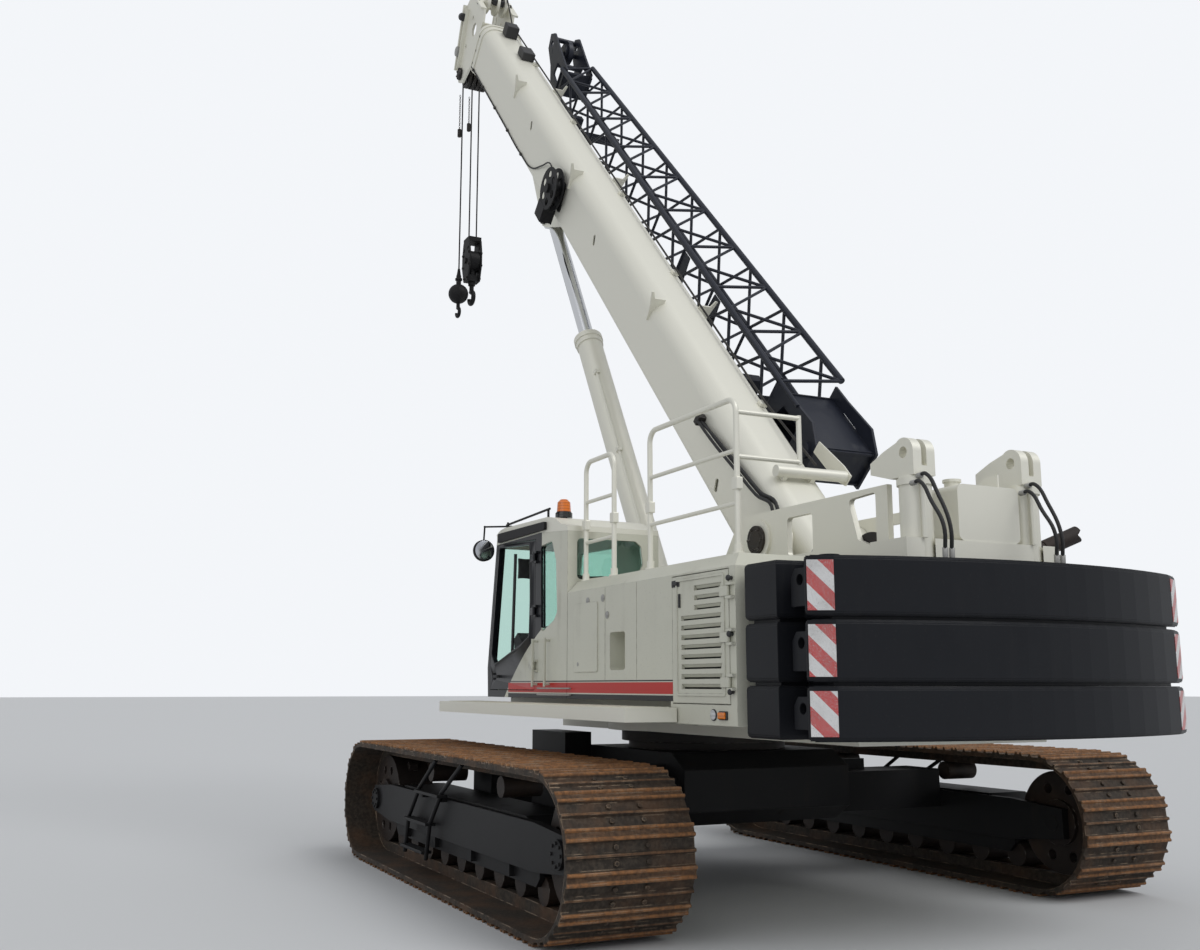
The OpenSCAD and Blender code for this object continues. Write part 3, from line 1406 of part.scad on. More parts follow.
module cylinder_barrel() {
    color(boom_colour) on_cylinder() difference() {
        union() {
            translate([150, 0, 0]) rotate([0, 90, 0]) cylinder(h = barrel_length - 150, r = barrel_radius);
            translate([barrel_length - 120, 0, 0]) rotate([0, 90, 0]) cylinder(h = 120, r = barrel_radius + 12);
            bar_y(0, 0, 130, -ear_y + 6, ear_y - 6);
            box(0, 200, -110, 110, -100, 100);
            // gland, its bolts and the oil line along the barrel
            translate([barrel_length - 60, 0, 0]) rotate([0, 90, 0]) cylinder(h = 60, r = barrel_radius + 22);
            for (i = [0 : 7])
                translate([barrel_length - 64, 0, 0]) rotate([i * 45 + 10, 0, 0]) translate([0, 0, barrel_radius + 2])
                    rotate([0, 90, 0]) cylinder(h = 78, r = 11);
            tube([1350, 88, 120], [3500, 88, 120], 14);
            for (u = [1350, 2400, 3460]) box(u, u + 44, 60, 112, 92, 140);
            box(300, 430, 40, 150, 60, 150);
        }
        translate([260, 0, 0]) rotate([0, 90, 0]) cylinder(h = barrel_length - 260 - 150, r = bore_radius);
        translate([1000, 0, 0]) rotate([0, 90, 0]) cylinder(h = barrel_length, r = rod_radius + play);
        bar_y(0, 0, 60 + play, -ear_y, ear_y);
    }
}

module cylinder_piston() {
    color([0.3, 0.3, 0.31]) on_cylinder()
        translate([piston_at, 0, 0]) rotate([0, 90, 0]) cylinder(h = 120, r = bore_radius - play);
}

module cylinder_rod() {
    color([0.8, 0.8, 0.82]) on_cylinder() difference() {
        union() {
            translate([piston_at + 120 + play, 0, 0]) rotate([0, 90, 0])
                cylinder(h = cylinder_length - piston_at - 120 - 80, r = rod_radius);
            bar_y(cylinder_length, 0, 118, -80, 80);
        }
    }
}

carbody();
swing_bearing();
side_frame(1);  // side_frame_left
side_frame(-1);  // side_frame_right
track(1);  // track_left
track(-1);  // track_right
sprocket(1);  // sprocket_left
sprocket(-1);  // sprocket_right
idler(1);  // idler_left
idler(-1);  // idler_right
rollers(1);  // rollers_left
rollers(-1);  // rollers_right
steps(1);  // steps_left
steps(-1);  // steps_right
turntable();
winch(winch_main_x);  // winch_main
winch(winch_aux_x);  // winch_aux
tail_frame();
counterweight_top();
counterweight_middle();
counterweight_bottom();
counterweight_cylinders();
rear_tank();
exhaust();
body_left();
body_right();
engine();
louver_door();
walkway();
guardrails();
cab_shell();
cab_floor_pan();
cab_roof_panel();
cab_glass();
cab_door();
seat();
console();
mirror_and_visor();
cab_rails();
beacon();
boom_foot_pin();
boom_base();
boom_fittings();
cable_reel();
eye_bracket();
boom_section_2();
boom_section_3();
boom_tip();
head_sheaves();
main_hook();
ball_hook();
lattice_fly();
cylinder_foot_pin();
cylinder_barrel();
cylinder_piston();
cylinder_rod();
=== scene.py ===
"""Finishes and fittings for a crawler crane.

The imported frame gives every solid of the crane. This script paints those solids, adds the
small fittings that the frame leaves out, and sets up the floor, the light and the view.
Lengths are metres. The crane's own coordinates have X forward from the swing axis, Y to the
cab's side and Z up from the ground. A Stand turns them, or those of the boom or of the lift
cylinder, into the frame's.
"""

from __future__ import annotations

import json
import logging
import math
from dataclasses import dataclass, field
from enum import Enum
from typing import Iterable, Sequence

import bmesh
import bpy
from mathutils import Matrix, Vector

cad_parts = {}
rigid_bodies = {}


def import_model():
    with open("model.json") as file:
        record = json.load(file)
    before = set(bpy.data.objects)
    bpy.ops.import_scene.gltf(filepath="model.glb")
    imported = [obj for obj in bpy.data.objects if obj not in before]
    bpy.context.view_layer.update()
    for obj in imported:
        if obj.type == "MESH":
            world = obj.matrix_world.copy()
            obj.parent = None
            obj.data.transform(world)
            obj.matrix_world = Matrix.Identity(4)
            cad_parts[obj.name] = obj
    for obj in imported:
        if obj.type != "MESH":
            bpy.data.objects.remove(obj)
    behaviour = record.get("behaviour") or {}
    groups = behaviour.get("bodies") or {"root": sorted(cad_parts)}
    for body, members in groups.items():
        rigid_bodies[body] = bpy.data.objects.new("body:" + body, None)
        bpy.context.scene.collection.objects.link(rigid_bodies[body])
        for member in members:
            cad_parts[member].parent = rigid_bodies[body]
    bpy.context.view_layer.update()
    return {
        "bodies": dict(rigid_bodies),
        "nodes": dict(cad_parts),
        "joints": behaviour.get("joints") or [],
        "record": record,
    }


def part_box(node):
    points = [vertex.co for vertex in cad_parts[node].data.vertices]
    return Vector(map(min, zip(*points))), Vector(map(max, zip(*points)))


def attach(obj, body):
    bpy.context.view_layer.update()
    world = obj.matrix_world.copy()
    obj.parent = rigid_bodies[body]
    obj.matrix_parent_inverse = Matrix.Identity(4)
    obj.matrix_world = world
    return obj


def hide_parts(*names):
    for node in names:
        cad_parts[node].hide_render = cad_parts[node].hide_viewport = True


LOG = logging.getLogger("crane")
Colour = tuple[float, float, float]
Point = Sequence[float]
Socket = bpy.types.NodeSocket


class Graph:
    """Adds nodes to one node tree and wires them."""

    def __init__(self, tree: bpy.types.NodeTree) -> None:
        """Takes the tree to work on."""
        self.tree = tree

    def add(self, kind: str, **settings: object) -> bpy.types.Node:
        """Adds a node.

        Args:
            kind: Blender's name of the node type.
            settings: properties to set on it.

        Returns:
            The new node.
        """
        node = self.tree.nodes.new(kind)
        for key, value in settings.items():
            setattr(node, key, value)
        return node

    def feed(self, socket: Socket, value: object) -> None:
        """Links a socket to another, or sets its value."""
        if isinstance(value, bpy.types.NodeSocket):
            self.tree.links.new(value, socket)
        else:
            socket.default_value = value

    def math(self, operation: str, first: object, second: object = 0.0, third: object = 0.0) -> Socket:
        """Adds a Math node with its result clamped to 0..1 only where the caller ramps it.

        Args:
            operation: the node's operation.
            first: number or socket.
            second: number or socket.
            third: number or socket, where the operation has one.

        Returns:
            The result.
        """
        node = self.add("ShaderNodeMath", operation=operation)
        for socket, value in zip(node.inputs, (first, second, third)):
            self.feed(socket, value)
        return node.outputs[0]

    def ramp(
        self, value: object, low: float, high: float, least: object = 0.0, most: object = 1.0,
    ) -> Socket:
        """Maps low..high smoothly to least..most.

        Args:
            value: socket to map.
            low: value that gives least.
            high: value that gives most.
            least: lowest result.
            most: highest result.

        Returns:
            The mapped value.
        """
        node = self.add("ShaderNodeMapRange", interpolation_type="SMOOTHSTEP")
        for socket, entry in zip(node.inputs, (value, low, high, least, most)):
            self.feed(socket, entry)
        return node.outputs[0]

    def noise(self, place: object, scale: float, detail: float = 3.0, rough: float = 0.55) -> Socket:
        """Adds a Noise texture.

        Args:
            place: coordinates.
            scale: size of the pattern, in features a metre.
            detail: number of octaves.
            rough: share of each octave.

        Returns:
            The noise, 0..1.
        """
        node = self.add("ShaderNodeTexNoise")
        for name, value in (("Vector", place), ("Scale", scale), ("Detail", detail), ("Roughness", rough)):
            self.feed(node.inputs[name], value)
        return node.outputs["Fac"]

    def mix(self, share: object, first: object, second: object) -> Socket:
        """Mixes two colours, given as sockets or as triples.

        Args:
            share: how much of the second.
            first: colour at 0.
            second: colour at 1.

        Returns:
            The mixed colour.
        """
        node = self.add("ShaderNodeMix", data_type="RGBA")
        self.feed(node.inputs[0], share)
        for socket, value in ((node.inputs[6], first), (node.inputs[7], second)):
            self.feed(socket, value if isinstance(value, bpy.types.NodeSocket) else (*value, 1.0))
        return node.outputs[2]

    def axes(self, place: Socket) -> list[Socket]:
        """Splits a position into its three coordinates."""
        parts = self.add("ShaderNodeSeparateXYZ")
        self.feed(parts.inputs[0], place)
        return list(parts.outputs)

    def bump(
        self,
        shader: bpy.types.Node,
        height: Socket,
        strength: float,
        distance: float,
        normal: Socket | None = None,
    ) -> None:
        """Feeds a bump into the shader's normal.

        Args:
            shader: the shader that gets it.
            height: the bump's height.
            strength: how strongly it shows.
            distance: its depth in metres.
            normal: a normal that it is laid over, if any.
        """
        bump = self.add("ShaderNodeBump")
        bump.inputs["Strength"].default_value = strength
        bump.inputs["Distance"].default_value = distance
        self.feed(bump.inputs["Height"], height)
        if normal is not None:
            self.feed(bump.inputs["Normal"], normal)
        self.feed(shader.inputs["Normal"], bump.outputs[0])

    def group(self, tree: bpy.types.NodeTree, **inputs: object) -> bpy.types.Node:
        """Places a node group and feeds its named inputs."""
        node = self.add("ShaderNodeGroup", node_tree=tree)
        for name, value in inputs.items():
            self.feed(node.inputs[name], value)
        return node


def new_group(
    name: str, inputs: Sequence[tuple[str, str, float]], outputs: Sequence[tuple[str, str]],
) -> bpy.types.NodeTree:
    """Makes an empty node group with its sockets.

    Args:
        name: the group's name.
        inputs: name, kind (Float, Vector or Color) and default of each input.
        outputs: name and kind of each output.

    Returns:
        The group's tree.
    """
    tree = bpy.data.node_groups.new(name, "ShaderNodeTree")
    for label, kind, default in inputs:
        socket = tree.interface.new_socket(label, in_out="INPUT", socket_type=f"NodeSocket{kind}")
        if kind == "Float":
            socket.default_value = default
    for label, kind in outputs:
        tree.interface.new_socket(label, in_out="OUTPUT", socket_type=f"NodeSocket{kind}")
    return tree


class Effects:
    """Shared node groups: outdoor grime and worn edges."""

    def __init__(self) -> None:
        """Builds each group once."""
        self.grime = self._grime()
        self.edges = self._edges()

    def _grime(self) -> bpy.types.NodeTree:
        """Builds patches, run marks, specks and grain over a surface."""
        tree = new_group(
            "outdoor_grime",
            [("Place", "Vector", 0.0), ("Scale", "Float", 1.0)],
            [("Patches", "Float"), ("Runs", "Float"), ("Specks", "Float"), ("Grain", "Float")],
        )
        graph = Graph(tree)
        given = graph.add("NodeGroupInput")
        result = graph.add("NodeGroupOutput")
        scaled = graph.add("ShaderNodeVectorMath", operation="SCALE")
        graph.feed(scaled.inputs[0], given.outputs["Place"])
        graph.feed(scaled.inputs["Scale"], given.outputs["Scale"])
        stretched = graph.add("ShaderNodeVectorMath", operation="MULTIPLY")
        graph.feed(stretched.inputs[0], scaled.outputs[0])
        stretched.inputs[1].default_value = (9.0, 9.0, 0.7)
        patches = graph.ramp(graph.noise(scaled.outputs[0], 1.3, 6.0, 0.62), 0.42, 0.74)
        runs = graph.ramp(graph.noise(stretched.outputs[0], 1.0, 3.0, 0.5), 0.52, 0.78)
        specks = graph.ramp(graph.noise(scaled.outputs[0], 70.0, 2.0, 0.5), 0.64, 0.7)
        for name, value in (("Patches", patches), ("Runs", runs), ("Specks", specks)):
            graph.feed(result.inputs[name], value)
        graph.feed(result.inputs["Grain"], graph.noise(scaled.outputs[0], 260.0, 2.0, 0.6))
        return tree

    def _edges(self) -> bpy.types.NodeTree:
        """Builds a rounded normal and a mask of worn edges."""
        tree = new_group(
            "worn_edges",
            [("Place", "Vector", 0.0), ("Radius", "Float", 0.006), ("Breakup", "Float", 12.0)],
            [("Wear", "Float"), ("Normal", "Vector")],
        )
        graph = Graph(tree)
        given = graph.add("NodeGroupInput")
        result = graph.add("NodeGroupOutput")
        soft = graph.add("ShaderNodeBevel", samples=4)
        graph.feed(soft.inputs["Radius"], given.outputs["Radius"])
        flat = graph.add("ShaderNodeNewGeometry")
        dot = graph.add("ShaderNodeVectorMath", operation="DOT_PRODUCT")
        graph.feed(dot.inputs[0], soft.outputs[0])
        graph.feed(dot.inputs[1], flat.outputs["Normal"])
        turn = graph.ramp(dot.outputs["Value"], 0.99, 0.86)
        noise = graph.add("ShaderNodeTexNoise")
        graph.feed(noise.inputs["Vector"], given.outputs["Place"])
        graph.feed(noise.inputs["Scale"], given.outputs["Breakup"])
        noise.inputs["Detail"].default_value = 4.0
        graph.feed(
            result.inputs["Wear"],
            graph.math("MULTIPLY", turn, graph.ramp(noise.outputs["Fac"], 0.45, 0.62)),
        )
        graph.feed(result.inputs["Normal"], soft.outputs[0])
        return tree


@dataclass(frozen=True)
class Band:
    """A painted area, as limits on the object's coordinates."""

    colour: Colour
    x: tuple[float, float] = (-99.0, 99.0)
    y: tuple[float, float] = (-99.0, 99.0)
    z: tuple[float, float] = (-99.0, 99.0)
    outside: tuple[float, float, float] | None = None

    def mask(self, graph: Graph, axes: Sequence[Socket]) -> Socket:
        """Gives 1 inside the limits.

        Args:
            graph: where the nodes go.
            axes: the separate coordinates.

        Returns:
            The mask.
        """
        mask: object = 1.0
        for socket, (low, high) in zip(axes, (self.x, self.y, self.z)):
            if low > -99.0:
                mask = graph.math("MULTIPLY", mask, graph.math("GREATER_THAN", socket, low))
            if high < 99.0:
                mask = graph.math("MULTIPLY", mask, graph.math("LESS_THAN", socket, high))
        if self.outside is not None:
            x0, z0, radius = self.outside
            dx = graph.math("SUBTRACT", axes[0], x0)
            dz = graph.math("SUBTRACT", axes[2], z0)
            span = graph.math(
                "SQRT", graph.math("ADD", graph.math("MULTIPLY", dx, dx), graph.math("MULTIPLY", dz, dz)),
            )
            mask = graph.math("MULTIPLY", mask, graph.math("GREATER_THAN", span, radius))
        return mask


class Finish:
    """Base of every finish: makes its material once."""

    name: str

    def material(self) -> bpy.types.Material:
        """Gives the finish's material, made at the first call."""
        found = bpy.data.materials.get(self.name)
        if found is not None:
            return found
        made = bpy.data.materials.new(self.name)
        made.use_nodes = True
        made.node_tree.nodes.clear()
        graph = Graph(made.node_tree)
        shader = graph.add("ShaderNodeBsdfPrincipled")
        output = graph.add("ShaderNodeOutputMaterial")
        graph.feed(output.inputs["Surface"], shader.outputs[0])
        place = graph.add("ShaderNodeTexCoord").outputs["Object"]
        self.dress(graph, shader, place)
        return made

    def dress(self, graph: Graph, shader: bpy.types.Node, place: Socket) -> None:
        """Wires the finish's own nodes into the shader."""
        raise NotImplementedError


@dataclass(frozen=True)
class Paint(Finish):
    """Sprayed paint on steel, with dirt, run marks and chipped edges."""

    name: str
    colour: Colour
    rough: float = 0.32
    dirt: Colour = (0.16, 0.13, 0.09)
    soil: float = 0.3
    primer: Colour = (0.10, 0.08, 0.07)
    chips: float = 0.5
    coat: float = 0.25
    gloss: float = 0.5
    radius: float = 0.006
    scale: float = 1.0
    bands: tuple[Band, ...] = ()

    def dress(self, graph: Graph, shader: bpy.types.Node, place: Socket) -> None:
        """Wires paint, then soil, then chips."""
        grime = graph.group(EFFECTS.grime, Place=place, Scale=self.scale)
        edges = graph.group(EFFECTS.edges, Place=place, Radius=self.radius)
        tone = graph.ramp(grime.outputs["Patches"], 0.0, 1.0, 0.0, 0.35)
        paler = tuple(min(1.0, part * 1.06 + 0.004) for part in self.colour)
        colour = graph.mix(tone, paler, tuple(part * 0.9 for part in self.colour))
        if self.bands:
            axes = graph.axes(place)
            for band in self.bands:
                colour = graph.mix(band.mask(graph, axes), colour, band.colour)
        stain = graph.math("MULTIPLY", grime.outputs["Patches"], grime.outputs["Runs"])
        stain = graph.math("ADD", stain, graph.math("MULTIPLY", grime.outputs["Specks"], 0.35))
        colour = graph.mix(graph.math("MULTIPLY", stain, self.soil), colour, self.dirt)
        chipped = graph.math("MULTIPLY", edges.outputs["Wear"], self.chips)
        graph.feed(shader.inputs["Base Color"], graph.mix(chipped, colour, self.primer))
        graph.feed(
            shader.inputs["Roughness"], graph.ramp(stain, 0.0, 1.0, self.rough, min(1.0, self.rough + 0.3)),
        )
        graph.bump(shader, grime.outputs["Grain"], 0.06, 0.002, edges.outputs["Normal"])
        shader.inputs["Specular IOR Level"].default_value = self.gloss
        shader.inputs["Coat Weight"].default_value = self.coat
        shader.inputs["Coat Roughness"].default_value = 0.12


@dataclass(frozen=True)
class Steel(Finish):
    """Bare or cast steel: base tone, rust or grease over it, and bright worn edges."""

    name: str
    colour: Colour
    stain: Colour
    bright: Colour = (0.45, 0.42, 0.38)
    rough: float = 0.55
    metal: float = 0.6
    cover: float = 0.5
    wear: float = 0.8
    radius: float = 0.006
    scale: float = 2.0

    def dress(self, graph: Graph, shader: bpy.types.Node, place: Socket) -> None:
        """Wires base tone, stain and wear."""
        grime = graph.group(EFFECTS.grime, Place=place, Scale=self.scale)
        edges = graph.group(EFFECTS.edges, Place=place, Radius=self.radius, Breakup=18.0)
        cover = graph.math(
            "MULTIPLY", graph.math("ADD", grime.outputs["Patches"], grime.outputs["Grain"]), self.cover,
        )
        colour = graph.mix(cover, self.colour, self.stain)
        worn = graph.math("MULTIPLY", edges.outputs["Wear"], self.wear)
        graph.feed(shader.inputs["Base Color"], graph.mix(worn, colour, self.bright))
        graph.feed(
            shader.inputs["Metallic"],
            graph.ramp(graph.math("ADD", worn, self.metal - 0.5), 0.0, 1.0, 0.2, 1.0),
        )
        graph.feed(shader.inputs["Roughness"], graph.ramp(worn, 0.0, 1.0, self.rough, 0.3))
        shader.inputs["Specular IOR Level"].default_value = 0.25
        graph.bump(shader, grime.outputs["Grain"], 0.35, 0.003, edges.outputs["Normal"])


@dataclass(frozen=True)
class Rust(Finish):
    """Rusted track shoes: muddy pans, orange bars and worn edges.

    The loop's middle, half its straight run and the radius of the pans tell the bars from the pans.
    """

    name: str
    middle: tuple[float, float] = (0.0, 0.5225)
    straight: float = 2.0625
    pans: float = 0.4985
    dark: Colour = (0.022, 0.016, 0.011)
    mud: Colour = (0.055, 0.042, 0.030)
    mid: Colour = (0.15, 0.072, 0.032)
    orange: Colour = (0.30, 0.135, 0.048)
    bright: Colour = (0.40, 0.30, 0.21)

    def bars(self, graph: Graph, place: Socket) -> Socket:
        """Gives 1 on the bars that stand out of the pans."""
        axes = graph.axes(place)
        along = graph.math("ABSOLUTE", graph.math("SUBTRACT", axes[0], self.middle[0]))
        along = graph.math("MAXIMUM", graph.math("SUBTRACT", along, self.straight), 0.0)
        height = graph.math("SUBTRACT", axes[2], self.middle[1])
        square = graph.math(
            "ADD", graph.math("MULTIPLY", along, along), graph.math("MULTIPLY", height, height),
        )
        return graph.ramp(graph.math("SQRT", square), self.pans + 0.002, self.pans + 0.014)

    def dress(self, graph: Graph, shader: bpy.types.Node, place: Socket) -> None:
        """Wires the browns and the worn bars."""
        grime = graph.group(EFFECTS.grime, Place=place, Scale=2.2)
        edges = graph.group(EFFECTS.edges, Place=place, Radius=0.012, Breakup=9.0)
        fine = graph.noise(place, 34.0, 5.0, 0.65)
        bars = self.bars(graph, place)
        pans = graph.mix(graph.ramp(fine, 0.38, 0.66), self.dark, self.mud)
        pans = graph.mix(graph.math("MULTIPLY", grime.outputs["Patches"], 0.45), pans, self.mid)
        rusty = graph.mix(graph.ramp(fine, 0.36, 0.64), self.mid, self.orange)
        colour = graph.mix(bars, pans, rusty)
        colour = graph.mix(graph.math("MULTIPLY", grime.outputs["Specks"], 0.5), colour, self.dark)
        worn = graph.math("MULTIPLY", edges.outputs["Wear"], 0.75)
        graph.feed(shader.inputs["Base Color"], graph.mix(worn, colour, self.bright))
        graph.feed(shader.inputs["Metallic"], graph.ramp(worn, 0.0, 1.0, 0.1, 0.85))
        graph.feed(shader.inputs["Roughness"], graph.ramp(worn, 0.0, 1.0, 0.78, 0.38))
        graph.bump(shader, fine, 0.5, 0.004, edges.outputs["Normal"])


@dataclass(frozen=True)
class Glass(Finish):
    """Tinted safety glass with a film of dust."""

    name: str
    tint: Colour = (0.52, 0.74, 0.66)

    def dress(self, graph: Graph, shader: bpy.types.Node, place: Socket) -> None:
        """Wires dust into the roughness only."""
        grime = graph.group(EFFECTS.grime, Place=place, Scale=3.0)
        shader.inputs["Base Color"].default_value = (*self.tint, 1.0)
        shader.inputs["Transmission Weight"].default_value = 1.0
        shader.inputs["IOR"].default_value = 1.45
        graph.feed(shader.inputs["Roughness"], graph.ramp(grime.outputs["Patches"], 0.0, 1.0, 0.01, 0.09))


@dataclass(frozen=True)
class Chrome(Finish):
    """Polished rod with a thin oil film."""

    name: str

    def dress(self, graph: Graph, shader: bpy.types.Node, place: Socket) -> None:
        """Wires the film into colour and roughness."""
        grime = graph.group(EFFECTS.grime, Place=place, Scale=4.0)
        shader.inputs["Metallic"].default_value = 1.0
        graph.feed(
            shader.inputs["Base Color"],
            graph.mix(grime.outputs["Patches"], (0.62, 0.64, 0.68), (0.42, 0.43, 0.46)),
        )
        graph.feed(shader.inputs["Roughness"], graph.ramp(grime.outputs["Patches"], 0.0, 1.0, 0.1, 0.24))


@dataclass(frozen=True)
class Moulded(Finish):
    """Rubber or plastic with a moulded grain."""

    name: str
    colour: Colour
    rough: float = 0.6
    grain: float = 300.0
    depth: float = 0.2

    def dress(self, graph: Graph, shader: bpy.types.Node, place: Socket) -> None:
        """Wires grain and dust."""
        grime = graph.group(EFFECTS.grime, Place=place, Scale=3.0)
        dusty = tuple(part * 0.7 + 0.05 for part in self.colour)
        graph.feed(
            shader.inputs["Base Color"],
            graph.mix(graph.math("MULTIPLY", grime.outputs["Patches"], 0.3), self.colour, dusty),
        )
        graph.feed(
            shader.inputs["Roughness"],
            graph.ramp(grime.outputs["Patches"], 0.0, 1.0, self.rough, self.rough + 0.15),
        )
        graph.bump(shader, graph.noise(place, self.grain, 2.0, 0.6), self.depth, 0.001)


@dataclass(frozen=True)
class Fabric(Finish):
    """Woven seat cover."""

    name: str
    colour: Colour = (0.035, 0.036, 0.04)

    def dress(self, graph: Graph, shader: bpy.types.Node, place: Socket) -> None:
        """Wires a plain weave into colour and bump."""
        axes = graph.axes(place)
        across = graph.math("SINE", graph.math("MULTIPLY", graph.math("ADD", axes[0], axes[2]), 1800.0))
        down = graph.math("SINE", graph.math("MULTIPLY", axes[1], 1800.0))
        weave = graph.math("MULTIPLY", across, down)
        colour = graph.mix(
            graph.ramp(weave, -1.0, 1.0), self.colour, tuple(part * 1.9 for part in self.colour),
        )
        graph.feed(shader.inputs["Base Color"], colour)
        shader.inputs["Roughness"].default_value = 0.85
        shader.inputs["Sheen Weight"].default_value = 0.4
        graph.bump(shader, weave, 0.4, 0.0006)


@dataclass(frozen=True)
class Lens(Finish):
    """Moulded lamp lens with fine ribs."""

    name: str
    colour: Colour
    ribs: float = 260.0
    foot: float = -9.0

    def dress(self, graph: Graph, shader: bpy.types.Node, place: Socket) -> None:
        """Wires ribs into the normal."""
        axes = graph.axes(place)
        wave = graph.math("SINE", graph.math("MULTIPLY", axes[2], self.ribs))
        colour = graph.mix(
            graph.ramp(wave, -1.0, 1.0), self.colour, tuple(part * 0.75 for part in self.colour),
        )
        low = graph.math("LESS_THAN", axes[2], self.foot)
        graph.feed(shader.inputs["Base Color"], graph.mix(low, colour, (0.012, 0.012, 0.012)))
        shader.inputs["Roughness"].default_value = 0.12
        shader.inputs["Coat Weight"].default_value = 0.6
        graph.bump(shader, wave, 0.4, 0.001)


@dataclass(frozen=True)
class Chevron(Finish):
    """Reflective sheet with slanting red and white stripes and a honeycomb of cells."""

    name: str
    width: float = 0.1
    run: tuple[float, float] = (1.0, 0.0)
    red: Colour = (0.52, 0.02, 0.02)
    white: Colour = (0.72, 0.72, 0.72)

    def dress(self, graph: Graph, shader: bpy.types.Node, place: Socket) -> None:
        """Wires the stripes, the cells and dirt."""
        axes = graph.axes(place)
        across = graph.math(
            "ADD",
            graph.math("MULTIPLY", axes[0], self.run[0]),
            graph.math("MULTIPLY", axes[1], self.run[1]),
        )
        along = graph.math("ADD", axes[2], across)
        share = graph.math("FRACT", graph.math("DIVIDE", along, 2.0 * self.width))
        stripe = graph.math("GREATER_THAN", share, 0.5)
        colour = graph.mix(stripe, self.white, self.red)
        cells = graph.add("ShaderNodeTexVoronoi", feature="DISTANCE_TO_EDGE")
        graph.feed(cells.inputs["Vector"], place)
        cells.inputs["Scale"].default_value = 160.0
        net = graph.ramp(cells.outputs["Distance"], 0.02, 0.07)
        colour = graph.mix(net, tuple(part * 0.6 for part in self.white), colour)
        grime = graph.group(EFFECTS.grime, Place=place, Scale=3.0)
        graph.feed(
            shader.inputs["Base Color"],
            graph.mix(graph.math("MULTIPLY", grime.outputs["Patches"], 0.35), colour, (0.14, 0.12, 0.1)),
        )
        graph.feed(shader.inputs["Roughness"], graph.ramp(net, 0.0, 1.0, 0.55, 0.28))
        shader.inputs["Coat Weight"].default_value = 0.3


EFFECTS: Effects


class Stand:
    """A coordinate system in which pieces are built, and its place in the frame."""

    def __init__(self, matrix: Matrix) -> None:
        """Takes the matrix from this stand to the frame."""
        self.matrix = matrix

    def at(self, x: float, y: float, z: float) -> Vector:
        """Gives a point of the frame."""
        return self.matrix @ Vector((x, y, z))


@dataclass
class Layout:
    """Where the crane's own axes lie in the frame."""

    swing_x: float
    boom_angle: float = math.radians(47.9)
    boom_foot: tuple[float, float, float] = (-1.6, 0.0, 2.6)
    cylinder_foot: tuple[float, float, float] = (0.4, 0.0, 1.7)
    rod_eye: tuple[float, float] = (6.6, -0.74)
    crane: Stand = field(init=False)
    boom: Stand = field(init=False)
    cylinder: Stand = field(init=False)

    def __post_init__(self) -> None:
        """Builds the three stands."""
        base = Matrix.Translation((self.swing_x, 0.0, 0.0))
        self.crane = Stand(base)
        self.boom = Stand(
            base @ Matrix.Translation(self.boom_foot) @ Matrix.Rotation(-self.boom_angle, 4, "Y")
        )
        eye = self.boom.at(self.rod_eye[0], 0.0, self.rod_eye[1]) - self.crane.at(*self.cylinder_foot)
        lean = math.atan2(eye.z, eye.x)
        self.cylinder = Stand(
            base @ Matrix.Translation(self.cylinder_foot) @ Matrix.Rotation(-lean, 4, "Y")
        )


@dataclass
class Viewpoint:
    """The photograph's point of view, in the crane's own coordinates."""

    place: tuple[float, float, float] = (-8.981, 5.348, 1.539)
    yaw: float = math.radians(-25.776)
    pitch: float = math.radians(10.022)
    roll: float = math.radians(0.0758)
    lens: float = 35.77

    def build(self, layout: Layout) -> None:
        """Makes the camera and hands it to the scene."""
        ahead = Vector((
            math.cos(self.yaw) * math.cos(self.pitch),
            math.sin(self.yaw) * math.cos(self.pitch),
            math.sin(self.pitch),
        ))
        side = Vector((math.sin(self.yaw), -math.cos(self.yaw), 0.0))
        over = side.cross(ahead)
        right = side * math.cos(self.roll) + over * math.sin(self.roll)
        up = over * math.cos(self.roll) - side * math.sin(self.roll)
        data = bpy.data.cameras.new("photo_view")
        data.lens = self.lens
        data.sensor_width = 36.0
        data.sensor_fit = "HORIZONTAL"
        data.clip_end = 400.0
        camera = bpy.data.objects.new("photo_view", data)
        bpy.context.scene.collection.objects.link(camera)
        turn = Matrix((right, up, -ahead)).transposed().to_4x4()
        camera.matrix_world = Matrix.Translation(layout.crane.at(*self.place)) @ turn
        bpy.context.scene.camera = camera


